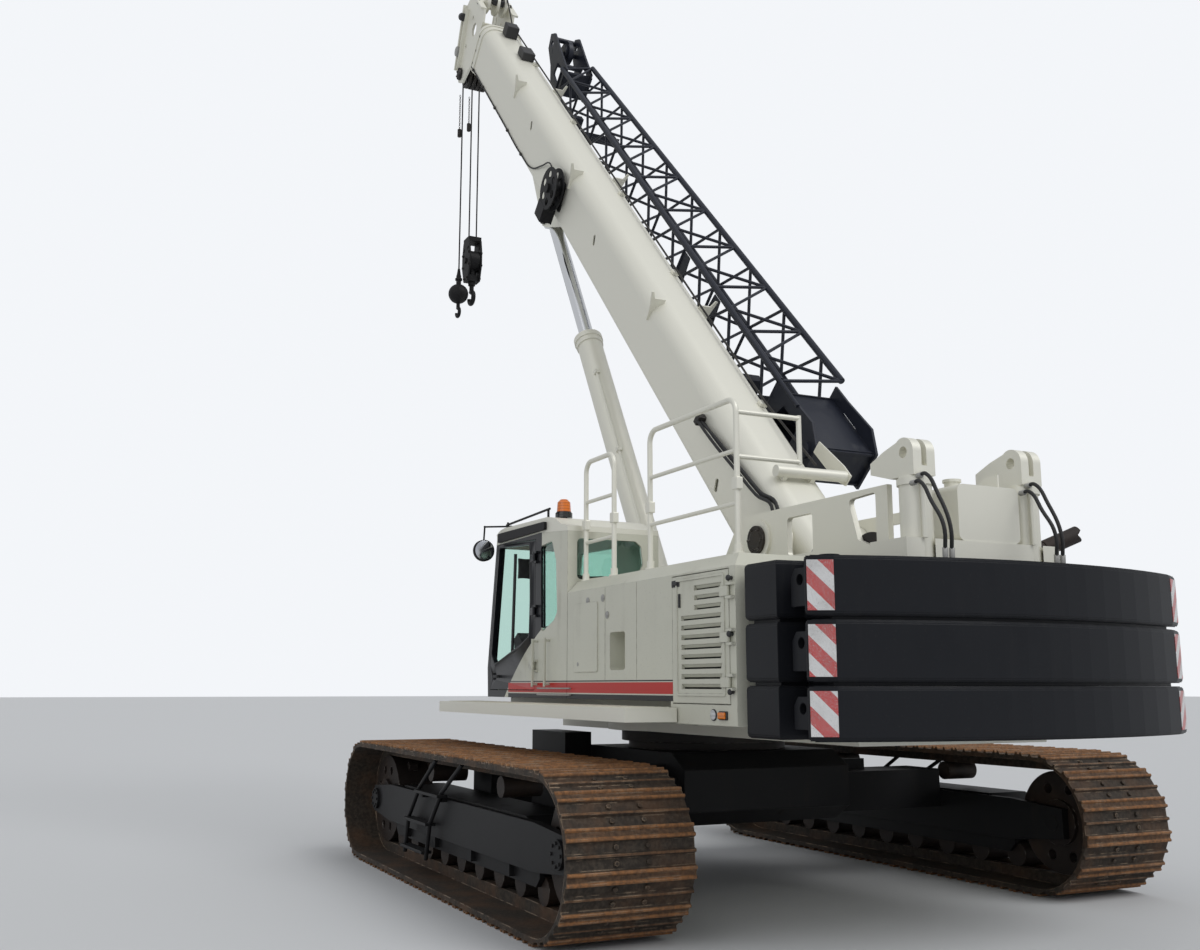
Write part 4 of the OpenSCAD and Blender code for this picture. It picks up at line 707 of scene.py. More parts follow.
@dataclass
class Studio:
    """Pale floor, pale surroundings and soft light."""

    floor_half: float = 160.0
    sky: Colour = (0.90, 0.92, 0.95)
    sky_light: float = 0.5
    sun_power: float = 1.2
    mirrored: float = 0.3

    def build(self) -> None:
        """Makes the floor, the surroundings and the lamps."""
        scene = bpy.context.scene
        scene.view_settings.view_transform = "Standard"
        bpy.ops.mesh.primitive_plane_add(size=2.0 * self.floor_half, location=(0.0, 0.0, 0.0))
        floor = bpy.context.object
        floor.name = "studio_floor"
        material = bpy.data.materials.new("studio_floor")
        material.use_nodes = True
        shader = material.node_tree.nodes["Principled BSDF"]
        shader.inputs["Base Color"].default_value = (0.62, 0.63, 0.64, 1.0)
        shader.inputs["Roughness"].default_value = 0.9
        floor.data.materials.append(material)
        self._surroundings(scene)
        self._lamp(
            "key", (math.radians(38.0), math.radians(-18.0), math.radians(-40.0)), self.sun_power, 35.0,
        )
        self._lamp("fill", (math.radians(60.0), 0.0, math.radians(-150.0)), self.sun_power * 0.35, 60.0)

    def _surroundings(self, scene: bpy.types.Scene) -> None:
        """Makes the world: pale where seen, gentler where it lights."""
        world = bpy.data.worlds.new("studio")
        world.use_nodes = True
        scene.world = world
        graph = Graph(world.node_tree)
        back = world.node_tree.nodes["Background"]
        back.inputs["Color"].default_value = (*self.sky, 1.0)
        path = graph.add("ShaderNodeLightPath")
        mirrored = graph.math("MULTIPLY", path.outputs["Is Glossy Ray"], self.mirrored)
        seen = graph.math("ADD", path.outputs["Is Camera Ray"], mirrored)
        seen = graph.math("ADD", seen, path.outputs["Is Transmission Ray"])
        graph.feed(back.inputs["Strength"], graph.ramp(seen, 0.0, 1.0, self.sky_light, 1.0))

    def _lamp(self, name: str, turn: tuple[float, float, float], power: float, spread: float) -> None:
        """Adds a soft sun lamp."""
        data = bpy.data.lights.new(name, "SUN")
        data.energy = power
        data.angle = math.radians(spread)
        lamp = bpy.data.objects.new(name, data)
        lamp.rotation_euler = turn
        bpy.context.scene.collection.objects.link(lamp)


class Bench:
    """Operators with which new pieces are shaped."""

    @staticmethod
    def clear() -> None:
        """Leaves edit mode and deselects everything."""
        if bpy.context.object is not None and bpy.context.object.mode != "OBJECT":
            bpy.ops.object.mode_set(mode="OBJECT")
        bpy.ops.object.select_all(action="DESELECT")

    @staticmethod
    def apply(piece: bpy.types.Object) -> None:
        """Applies every modifier of a piece."""
        bpy.context.view_layer.objects.active = piece
        for modifier in list(piece.modifiers):
            bpy.ops.object.modifier_apply(modifier=modifier.name)

    @staticmethod
    def round_off(piece: bpy.types.Object, radius: float, steps: int = 2, angle: float = 35.0) -> None:
        """Bevels a piece's sharp edges and applies it."""
        bevel = piece.modifiers.new("round", "BEVEL")
        bevel.width = radius
        bevel.segments = steps
        bevel.limit_method = "ANGLE"
        bevel.angle_limit = math.radians(angle)
        bevel.use_clamp_overlap = True
        Bench.apply(piece)

    @staticmethod
    def block(low: Point, high: Point, radius: float = 0.003, steps: int = 2) -> bpy.types.Object:
        """Makes a box with rounded edges.

        Args:
            low: lowest corner.
            high: highest corner.
            radius: rounding of the edges.
            steps: segments of the rounding.

        Returns:
            The new piece.
        """
        Bench.clear()
        centre = [(a + b) / 2.0 for a, b in zip(low, high)]
        bpy.ops.mesh.primitive_cube_add(size=1.0, location=centre)
        piece = bpy.context.object
        piece.scale = [b - a for a, b in zip(low, high)]
        bpy.ops.object.transform_apply(location=True, rotation=True, scale=True)
        Bench.round_off(piece, radius, steps)
        return piece

    @staticmethod
    def rod(
        start: Point, end: Point, radius: float, sides: int = 20, chamfer: float = 0.0,
    ) -> bpy.types.Object:
        """Makes a round bar between two points.

        Args:
            start: centre of one end.
            end: centre of the other.
            radius: of the bar.
            sides: faces round it.
            chamfer: rounding of its end edges.

        Returns:
            The new piece.
        """
        Bench.clear()
        first, last = Vector(start), Vector(end)
        run = last - first
        bpy.ops.mesh.primitive_cylinder_add(
            vertices=sides, radius=radius, depth=run.length, location=(first + last) / 2.0,
        )
        piece = bpy.context.object
        piece.rotation_euler = run.to_track_quat("Z", "Y").to_euler()
        bpy.ops.object.transform_apply(location=True, rotation=True, scale=True)
        if chamfer > 0.0:
            Bench.round_off(piece, chamfer, 2, 50.0)
        bpy.ops.object.shade_smooth_by_angle(angle=math.radians(40.0))
        return piece

    @staticmethod
    def outline(
        points: Sequence[tuple[float, float]], y0: float, y1: float, radius: float = 0.003,
    ) -> bpy.types.Object:
        """Makes a plate from its X-Z outline, with thickness along Y.

        Args:
            points: outline corners, in order.
            y0: one face.
            y1: other face.
            radius: rounding of the edges.

        Returns:
            The new piece.
        """
        Bench.clear()
        bpy.ops.mesh.primitive_plane_add(size=1.0)
        piece = bpy.context.object
        mesh = bmesh.new()
        face = mesh.faces.new([mesh.verts.new((x, y0, z)) for x, z in points])
        grown = bmesh.ops.extrude_face_region(mesh, geom=[face])
        moved = [item for item in grown["geom"] if isinstance(item, bmesh.types.BMVert)]
        bmesh.ops.translate(mesh, vec=(0.0, y1 - y0, 0.0), verts=moved)
        bmesh.ops.recalc_face_normals(mesh, faces=mesh.faces[:])
        mesh.to_mesh(piece.data)
        mesh.free()
        Bench.round_off(piece, radius, 2)
        return piece

    @staticmethod
    def hose(
        points: Sequence[Point], radius: float, resolution: int = 6, sides: int = 3,
    ) -> bpy.types.Object:
        """Makes a round hose or pipe along a smooth line.

        Args:
            points: points that the line passes through.
            radius: of the hose.
            resolution: steps between two points.
            sides: a quarter of the faces round it, less one.

        Returns:
            The new piece, as a closed mesh.
        """
        Bench.clear()
        bpy.ops.curve.primitive_bezier_curve_add()
        piece = bpy.context.object
        curve = piece.data
        curve.splines.clear()
        spline = curve.splines.new("BEZIER")
        spline.bezier_points.add(len(points) - 1)
        for knot, place in zip(spline.bezier_points, points):
            knot.co = place
            knot.handle_left_type = "AUTO"
            knot.handle_right_type = "AUTO"
        curve.dimensions = "3D"
        curve.bevel_depth = radius
        curve.bevel_resolution = sides
        curve.resolution_u = resolution
        curve.use_fill_caps = True
        bpy.ops.object.transform_apply(location=True, rotation=True, scale=True)
        bpy.ops.object.convert(target="MESH")
        bpy.ops.object.shade_smooth_by_angle(angle=math.radians(50.0))
        return bpy.context.object

    @staticmethod
    def hexagon(radius: float, z0: float, z1: float) -> bpy.types.Object:
        """Makes a bolt head along Z with its chamfered top."""
        Bench.clear()
        bpy.ops.mesh.primitive_cylinder_add(
            vertices=6, radius=radius, depth=z1 - z0, location=(0.0, 0.0, (z0 + z1) / 2.0),
        )
        head = bpy.context.object
        bpy.ops.object.mode_set(mode="EDIT")
        bpy.ops.mesh.select_mode(type="FACE")
        bpy.ops.mesh.select_all(action="DESELECT")
        mesh = bmesh.from_edit_mesh(head.data)
        for face in mesh.faces:
            if face.normal.z > 0.9:
                face.select_set(True)
        bmesh.update_edit_mesh(head.data)
        bpy.ops.mesh.inset(thickness=radius * 0.14)
        bpy.ops.transform.translate(value=(0.0, 0.0, radius * 0.1))
        bpy.ops.object.mode_set(mode="OBJECT")
        bpy.ops.object.transform_apply(location=True, rotation=True, scale=True)
        return head

    @staticmethod
    def repeat(piece: bpy.types.Object, places: Sequence[Matrix]) -> bpy.types.Object:
        """Copies a piece to every place, each copy with its own mesh, and joins them.

        Args:
            piece: the piece, made round the origin.
            places: where the copies go.

        Returns:
            The joined copies.
        """
        model = piece.data.copy()
        copies = []
        for place in places:
            mesh = model.copy()
            mesh.transform(place)
            copy = bpy.data.objects.new("copy", mesh)
            bpy.context.scene.collection.objects.link(copy)
            copies.append(copy)
        bpy.data.objects.remove(piece, do_unlink=True)
        return Bench.join(copies)

    @staticmethod
    def ball(centre: Point, radius: float) -> bpy.types.Object:
        """Makes a slightly flattened rubber knob."""
        Bench.clear()
        bpy.ops.mesh.primitive_uv_sphere_add(segments=20, ring_count=12, radius=radius, location=centre)
        knob = bpy.context.object
        knob.scale = (1.0, 0.8, 1.0)
        bpy.ops.object.transform_apply(location=True, rotation=True, scale=True)
        bpy.ops.object.shade_smooth()
        return knob

    @staticmethod
    def grip(start: Point, end: Point) -> bpy.types.Object:
        """Makes a waisted lever grip from one end to the other."""
        first, last = Vector(start), Vector(end)
        rings = [first.lerp(last, share / 6.0) for share in range(7)]
        widths = (0.014, 0.02, 0.019, 0.017, 0.019, 0.021, 0.013)
        parts = [
            Bench.rod(low, high, max(near, far), 18, 0.004)
            for low, high, near, far in zip(rings, rings[1:], widths, widths[1:])
        ]
        return Bench.join(parts)

    @staticmethod
    def chain(foot: Point, length: float, link: float = 0.04) -> bpy.types.Object:
        """Makes a plumb chain of oval links going up from its foot, every second one turned."""
        Bench.clear()
        bpy.ops.mesh.primitive_torus_add(
            major_segments=14, minor_segments=6, major_radius=link * 0.36, minor_radius=link * 0.1,
        )
        model = bpy.context.object
        model.data.transform(Matrix.Diagonal((0.72, 1.3, 1.0, 1.0)))
        model.data.transform(Matrix.Rotation(math.pi / 2.0, 4, "X"))
        count = int(length / (link * 0.74))
        places = [
            Matrix.Translation(
                (foot[0], foot[1], foot[2] + (index + 0.5) * link * 0.74)
            ) @ Matrix.Rotation(index * math.pi / 2.0, 4, "Z")
            for index in range(count)
        ]
        return Bench.repeat(model, places)

    @staticmethod
    def cushion_frame(foot: Point) -> bpy.types.Object:
        """Makes a seat's suspension: base plate, bellows and slide rails."""
        x, y, z = foot
        parts = [Bench.block((x, y - 0.17, z), (x + 0.3, y + 0.17, z + 0.03), 0.006, 2)]
        for index in range(5):
            inset = 0.012 if index % 2 else 0.0
            low = z + 0.028 + index * 0.036
            parts.append(
                Bench.block(
                    (x + 0.01 + inset, y - 0.15 + inset, low),
                    (x + 0.29 - inset, y + 0.15 - inset, low + 0.04),
                    0.012,
                    3,
                )
            )
        for side in (-0.14, 0.14):
            parts.append(
                Bench.block(
                    (x - 0.04, y + side - 0.015, z + 0.205),
                    (x + 0.38, y + side + 0.015, z + 0.235),
                    0.004,
                    2,
                )
            )
        parts.append(Bench.block((x - 0.05, y - 0.20, z + 0.233), (x + 0.40, y + 0.20, z + 0.264), 0.01, 3))
        for side in (-0.235, 0.195):
            parts.append(
                Bench.block(
                    (x - 0.03, y + side, z + 0.50), (x + 0.27, y + side + 0.04, z + 0.545), 0.014, 3,
                )
            )
            parts.append(
                Bench.block((x - 0.06, y + side, z + 0.25), (x - 0.02, y + side + 0.04, z + 0.54), 0.01, 3)
            )
        return Bench.join(parts)

    @staticmethod
    def join(pieces: Iterable[bpy.types.Object]) -> bpy.types.Object:
        """Joins pieces into the first of them."""
        pieces = list(pieces)
        Bench.clear()
        for piece in pieces:
            piece.select_set(True)
        bpy.context.view_layer.objects.active = pieces[0]
        if len(pieces) > 1:
            bpy.ops.object.join()
        return bpy.context.object


class Fitter:
    """Dresses finished pieces and sets them on their bodies."""

    def __init__(self, layout: Layout) -> None:
        """Takes the crane's layout."""
        self.layout = layout
        self.count = 0

    def fit(
        self,
        piece: bpy.types.Object,
        name: str,
        body: str,
        finish: Finish,
        stand: Stand | None = None,
    ) -> bpy.types.Object:
        """Names, dresses and mounts a piece.

        Args:
            piece: the finished piece, in its stand's coordinates.
            name: its name.
            body: CAD body that it rides on.
            finish: its finish.
            stand: where it was built; the crane's own by default.

        Returns:
            The piece.
        """
        Bench.clear()
        piece.name = name
        piece.data.name = name
        piece.data.transform((stand or self.layout.crane).matrix)
        piece.data.materials.clear()
        piece.data.materials.append(finish.material())
        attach(piece, body)
        self.count += 1
        LOG.info("%s: %d faces on %s", name, len(piece.data.polygons), body)
        return piece


class Livery(Enum):
    """Colours of the crane's paint."""

    CREAM = (0.57, 0.57, 0.485)
    BLACK = (0.008, 0.009, 0.012)
    SATIN_BLACK = (0.009, 0.009, 0.010)
    NAVY = (0.012, 0.015, 0.026)
    RED = (0.50, 0.020, 0.014)
    WHITE = (0.74, 0.74, 0.70)


@dataclass
class Finishes:
    """Every finish of the crane."""

    layout: Layout

    def __post_init__(self) -> None:
        """Sets up the finishes that need the layout."""
        x0 = self.layout.swing_x
        cream = Livery.CREAM.value
        ribbon = tuple(
            Band(colour, (x0 - 2.07, x0 + 0.86), (1.46, 1.6), height)
            for colour, height in (
                (Livery.BLACK.value, (1.569, 1.578)),
                (Livery.RED.value, (1.485, 1.563)),
                (Livery.BLACK.value, (1.44, 1.476)),
            )
        )
        front = Band(
            Livery.BLACK.value,
            y=(1.40, 1.6),
            z=(1.3, 2.80),
            outside=(x0 - 0.937, -0.448, 2.668),
            x=(x0 + 0.142, 99.0),
        )
        self.cream = Paint("cream_paint", cream, coat=0.1, gloss=0.35)
        # Near-black painted shade on body_left's inner faces behind the louver door; the cream and the ribbon
        # are the paint's own colours.
        louver_recess_shade = Band((0.006, 0.006, 0.006), (x0 - 2.74, x0 - 2.10), (0.9, 1.45), (1.45, 2.23))
        self.side_cream_and_shade = Paint("cream_side_paint_and_shade", cream, coat=0.05, gloss=0.3, bands=(*ribbon, louver_recess_shade))
        self.cab_cream = Paint("cream_cab_paint", cream, coat=0.05, gloss=0.3, bands=(front, *ribbon))
        self.door_paint = Paint(
            "cab_door_paint", cream, rough=0.3, coat=0.05, gloss=0.3, bands=(front, *ribbon),
        )
        self.black = Paint(
            "black_gloss_paint",
            Livery.BLACK.value,
            rough=0.34,
            dirt=(0.06, 0.055, 0.05),
            soil=0.2,
            primer=(0.05, 0.05, 0.05),
            chips=0.3,
            coat=0.0,
            gloss=0.16,
        )
        self.satin = Paint(
            "satin_black_paint",
            Livery.SATIN_BLACK.value,
            rough=0.5,
            dirt=(0.07, 0.055, 0.04),
            soil=0.35,
            primer=(0.06, 0.05, 0.04),
            coat=0.0,
            gloss=0.18,
        )
        self.navy = Paint(
            "navy_paint",
            Livery.NAVY.value,
            rough=0.4,
            dirt=(0.1, 0.1, 0.1),
            soil=0.3,
            primer=(0.12, 0.1, 0.08),
            coat=0.0,
            gloss=0.3,
            radius=0.004,
        )
        self.track = Rust("rusty_shoes", middle=(x0, 0.5225))
        self.cast = Steel("greased_steel", (0.03, 0.03, 0.032), (0.05, 0.04, 0.03))
        self.gear = Steel("running_gear_steel", (0.022, 0.021, 0.022), (0.07, 0.045, 0.03), rough=0.5)
        self.iron = Steel("exhaust_steel", (0.03, 0.028, 0.028), (0.06, 0.04, 0.03), rough=0.6)
        self.engine = Steel("engine_block", (0.2, 0.21, 0.22), (0.1, 0.09, 0.08))
        self.chrome = Chrome("chrome_rod")
        self.mirror = Chrome("mirror_face")
        self.glass = Glass("tinted_glass")
        self.rubber = Moulded("hose_rubber", (0.012, 0.012, 0.013))
        self.plastic = Moulded("grained_plastic", (0.03, 0.03, 0.032))
        self.fabric = Fabric("seat_cloth")
        self.amber = Lens("amber_lens", (0.85, 0.22, 0.01))
        self.beacon = Lens("beacon_lens", (0.80, 0.19, 0.01), foot=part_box("beacon")[0].z + 0.058)
        grab_bars = Band(cream, z=(-9.0, 2.2))
        self.rails = Paint(
            "cab_rail_paint", Livery.SATIN_BLACK.value, rough=0.5, coat=0.0, gloss=0.2, bands=(grab_bars,),
        )
        # Near-black painted shade on the louver door's inner faces behind its slats; the rest is its own
        # cream paint.
        dark = Band((0.006, 0.006, 0.006), (x0 - 2.74, x0 - 2.10), (0.9, 1.458), (1.45, 2.23))
        self.door_cream_and_shade = Paint("louver_door_paint_and_shade", cream, coat=0.05, gloss=0.3, bands=(dark,))
        self.chevron = Chevron("chevron_sheet", width=0.095, run=(-0.4717, -0.8805))
        self.chevron_right = Chevron("chevron_sheet_right", width=0.095, run=(-0.4717, 0.8805))
        self.bright = Steel(
            "zinc_steel",
            (0.42, 0.42, 0.41),
            (0.2, 0.18, 0.15),
            metal=0.8,
            cover=0.25,
            rough=0.4,
            radius=0.002,
        )
        self.rope = Steel(
            "rope_steel",
            (0.05, 0.048, 0.045),
            (0.02, 0.018, 0.016),
            rough=0.5,
            cover=0.6,
            wear=0.3,
            radius=0.002,
            scale=6.0,
        )
        self.clear = Lens("clear_lens", (0.62, 0.64, 0.66))
        self.plate = Paint("blank_plate", (0.55, 0.56, 0.55), rough=0.35, chips=0.1, coat=0.0, radius=0.001)

    def table(self) -> dict[str, Finish]:
        """Gives each CAD node's finish."""
        rows: list[tuple[Finish, str]] = [
            (self.satin, "carbody side_frame_left side_frame_right steps_left steps_right"),
            (self.satin, "cab_floor_pan mirror_and_visor"),
            (self.rails, "cab_rails"),
            (self.satin, "cable_reel"),
            (self.cream, "rear_tank boom_fittings"),
            (self.cast, "swing_bearing winch_main winch_aux head_sheaves"),
            (self.cast, "boom_foot_pin cylinder_foot_pin cylinder_piston"),
            (self.gear, "sprocket_left sprocket_right idler_left idler_right rollers_left rollers_right"),
            (self.track, "track_left track_right"),
            (
                self.cream,
                "turntable tail_frame counterweight_cylinders body_right walkway guardrails cab_roof_panel",
            ),
            (self.cream, "boom_base eye_bracket boom_section_2 boom_section_3 boom_tip cylinder_barrel"),
            (self.side_cream_and_shade, "body_left"),
            (self.door_cream_and_shade, "louver_door"),
            (self.cab_cream, "cab_shell"),
            (self.door_paint, "cab_door"),
            (self.black, "counterweight_top counterweight_middle counterweight_bottom"),
            (self.iron, "exhaust"),
            (self.engine, "engine"),
            (self.glass, "cab_glass"),
            (self.fabric, "seat"),
            (self.plastic, "console"),
            (self.beacon, "beacon"),
            (self.satin, "main_hook ball_hook"),
            (self.navy, "lattice_fly"),
            (self.chrome, "cylinder_rod"),
        ]
        return {node: finish for finish, names in rows for node in names.split()}

    def paint_frame(self, nodes: dict[str, bpy.types.Object]) -> None:
        """Gives every CAD node its finish."""
        table = self.table()
        for name, node in nodes.items():
            finish = table.get(name, self.cream)
            if name not in table:
                LOG.warning("no finish for %s", name)
            node.data.materials.clear()
            node.data.materials.append(finish.material())


@dataclass
class TrackBolts:
    """Bolt heads of the track shoes, four on each."""

    length: float = 5.17
    height: float = 1.045
    plate: float = 0.022
    bar: float = 0.024
    shoes: int = 48
    centre: float = 2.03
    rail: float = 0.105
    shares: tuple[float, float] = (0.305, 0.705)

    def path(self, distance: float) -> Vector:
        """Gives the point of the track's path at a distance along it, in X and Z."""
        radius = self.height / 2.0 - self.bar - self.plate
        straight = self.length - self.height
        middle = self.height / 2.0
        distance %= 2.0 * straight + 2.0 * math.pi * radius
        if distance < straight:
            return Vector((-straight / 2.0 + distance, middle + radius))
        distance -= straight
        if distance < math.pi * radius:
            turn = math.pi / 2.0 - distance / radius
            return Vector((straight / 2.0 + radius * math.cos(turn), middle + radius * math.sin(turn)))
        distance -= math.pi * radius
        if distance < straight:
            return Vector((straight / 2.0 - distance, middle - radius))
        turn = 1.5 * math.pi - (distance - straight) / radius
        return Vector((-straight / 2.0 + radius * math.cos(turn), middle + radius * math.sin(turn)))

    def places(self, side: float) -> list[Matrix]:
        """Gives the place of every bolt head of one track."""
        radius = self.height / 2.0 - self.bar - self.plate
        pitch = (2.0 * (self.length - self.height) + 2.0 * math.pi * radius) / self.shoes
        found = []
        for shoe in range(self.shoes):
            first = self.path((shoe + 0.5) * pitch)
            run = self.path((shoe + 1.5) * pitch) - first
            out = Vector((-run.y, run.x)).normalized()
            for share in self.shares:
                spot = first + run * share + out * self.plate
                for across in (-self.rail, self.rail):
                    aim = Vector((out.x, 0.0, out.y)).to_track_quat("Z", "Y").to_matrix().to_4x4()
                    found.append(Matrix.Translation((spot.x, side * self.centre + across, spot.y)) @ aim)
        return found

    def build(self, fitter: Fitter, finish: Finish) -> None:
        """Makes the bolt heads of both tracks."""
        for side, label in ((1.0, "left"), (-1.0, "right")):
            head = Bench.hexagon(0.017, -0.002, 0.013)
            fitter.fit(
                Bench.repeat(head, self.places(side)),
                f"shoe_bolts_{label}",
                "undercarriage",
                finish,
            )


@dataclass
class SlabPlates:
    """Striped reflective sheets on the rear corners of the slabs."""

    corner: tuple[float, float] = (-3.5965, 1.40)
    lean: tuple[float, float] = (0.881, 0.472)
    width: float = 0.15
    slabs: tuple[tuple[float, float], ...] = ((1.268, 1.512), (1.588, 1.872), (1.948, 2.227))

    def build(self, fitter: Fitter, finishes: Finishes) -> None:
        """Makes a sheet with rounded corners on every slab's corner."""
        for side, label in ((1.0, "left"), (-1.0, "right")):
            for index, (low, high) in enumerate(self.slabs):
                half = self.width / 2.0
                sheet = Bench.outline(
                    [(-half, low), (half, low), (half, high), (-half, high)], 0.0, 0.004, 0.0015,
                )
                outward = Vector((-self.lean[0], side * self.lean[1], 0.0))
                turn = Matrix(
                    (Vector((outward.y, -outward.x, 0.0)), outward, Vector((0.0, 0.0, 1.0)))
                ).transposed().to_4x4()
                spot = Vector((self.corner[0], side * self.corner[1], 0.0))
                sheet.data.transform(Matrix.Translation(spot) @ turn)
                fitter.fit(
                    sheet,
                    f"corner_sheet_{label}_{index + 1}",
                    "upper",
                    finishes.chevron if side > 0 else finishes.chevron_right,
                )


@dataclass
class CabDoor:
    """The cab's door, its pane parted from the frame so that each has its own finish."""

    pane: tuple[float, float] = (1.456, 1.462)

    def build(self, fitter: Fitter, finishes: Finishes, node: bpy.types.Object) -> None:
        """Parts a copy of the CAD node at its pane and closes both pieces."""
        Bench.clear()
        frame = bpy.data.objects.new("door_copy", node.data.copy())
        bpy.context.scene.collection.objects.link(frame)
        frame.select_set(True)
        bpy.context.view_layer.objects.active = frame
        bpy.ops.object.mode_set(mode="EDIT")
        bpy.ops.mesh.select_mode(type="FACE")
        bpy.ops.mesh.select_all(action="SELECT")
        bpy.ops.mesh.remove_doubles(threshold=0.00002)
        bpy.ops.mesh.select_all(action="DESELECT")
        mesh = bmesh.from_edit_mesh(frame.data)
        for face in mesh.faces:
            if all(min(abs(vertex.co.y - level) for level in self.pane) < 0.0004 for vertex in face.verts):
                face.select_set(True)
        bmesh.update_edit_mesh(frame.data)
        bpy.ops.mesh.separate(type="SELECTED")
        bpy.ops.object.mode_set(mode="OBJECT")
        glass = next(piece for piece in bpy.context.selected_objects if piece is not frame)
        for piece in (frame, glass):
            Bench.clear()
            piece.select_set(True)
            bpy.context.view_layer.objects.active = piece
            bpy.ops.object.mode_set(mode="EDIT")
            bpy.ops.mesh.select_mode(type="VERT")
            bpy.ops.mesh.select_all(action="DESELECT")
            bpy.ops.mesh.select_non_manifold()
            bpy.ops.mesh.bridge_edge_loops()
            bpy.ops.mesh.select_all(action="SELECT")
            bpy.ops.mesh.normals_make_consistent(inside=False)
            bpy.ops.object.mode_set(mode="OBJECT")
            bpy.ops.object.shade_smooth_by_angle(angle=math.radians(30.0))
            piece.data.transform(fitter.layout.crane.matrix.inverted())
        fitter.fit(frame, "cab_door_frame", "cab_door", finishes.door_paint)
        fitter.fit(glass, "cab_door_pane", "cab_door", finishes.glass)
        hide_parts("cab_door")


@dataclass
class SideFittings:
    """Latches, handles, lamps and plates on the left side of the house."""

    wall: float = 1.48
    latches: tuple[tuple[float, float], ...] = (
        (-0.766, 2.172), (-1.026, 2.178), (-0.60, 1.70), (-1.10, 2.05),
    )
    knobs: tuple[tuple[float, float], ...] = ((-2.812, 2.185), (-2.812, 1.847), (-2.812, 1.503))

    def latch(self, x: float, z: float) -> bpy.types.Object:
        """Makes a round flush latch with its key slot."""
        y = self.wall
        rim = Bench.rod((x, y - 0.002, z), (x, y + 0.006, z), 0.027, 28, 0.002)
        core = Bench.rod((x, y - 0.002, z), (x, y + 0.009, z), 0.017, 24, 0.002)
        bar = Bench.block((x - 0.013, y + 0.008, z - 0.003), (x + 0.013, y + 0.011, z + 0.003), 0.001, 1)
        return Bench.join([rim, core, bar])

    def door_handle(self, x: float, z: float) -> bpy.types.Object:
        """Makes a paddle handle in its oval surround."""
        y = self.wall + 0.002
        surround = Bench.block((x - 0.05, y - 0.002, z - 0.022), (x + 0.05, y + 0.006, z + 0.022), 0.006, 3)
        paddle = Bench.block((x - 0.034, y + 0.005, z - 0.012), (x + 0.034, y + 0.016, z + 0.012), 0.005, 3)
        return Bench.join([surround, paddle])

    def build(self, fitter: Fitter, finishes: Finishes) -> None:
        """Makes the side's small fittings."""
        y = self.wall
        fitter.fit(
            Bench.join([self.latch(x, z) for x, z in self.latches]),
            "panel_latches",
            "upper",
            finishes.bright,
        )
        fitter.fit(
            self.door_handle(-2.125, 2.199),
            "louver_door_handle",
            "louver_door",
            finishes.plastic,
        )
        slot = Bench.block((-2.186, y, 2.039), (-2.168, y + 0.014, 2.13), 0.004, 2)
        fitter.fit(slot, "louver_door_lever", "louver_door", finishes.plastic)
        knobs = [
            Bench.join(
                [
                    Bench.rod((x, y - 0.002, z), (x, y + 0.018, z), 0.012, 20, 0.002),
                    Bench.ball((x, y + 0.026, z), 0.019),
                ]
            )
            for x, z in self.knobs
        ]
        fitter.fit(Bench.join(knobs), "corner_buffers", "upper", finishes.plastic)
        ring = Bench.rod((-2.582, y - 0.001, 1.363), (-2.582, y + 0.008, 1.363), 0.036, 36, 0.003)
        fitter.fit(ring, "side_reflector_base", "upper", finishes.plastic)
        face = Bench.rod((-2.582, y + 0.006, 1.363), (-2.582, y + 0.012, 1.363), 0.031, 36, 0.003)
        fitter.fit(face, "side_reflector", "upper", finishes.clear)
        base = Bench.block((-2.745, y - 0.001, 1.335), (-2.65, y + 0.012, 1.388), 0.005, 2)
        fitter.fit(base, "side_lamp_base", "upper", finishes.plastic)
        lens = Bench.block((-2.738, y + 0.010, 1.341), (-2.657, y + 0.026, 1.382), 0.009, 4)
        fitter.fit(lens, "side_lamp", "upper", finishes.amber)
        plates = [
            Bench.block((x - 0.032, 1.326, 2.755), (x + 0.032, 1.374, 2.835), 0.006, 2)
            for x in (-0.45, -0.95, -1.53, -2.69)
        ]
        fitter.fit(Bench.join(plates), "rail_clips", "upper", finishes.cream)


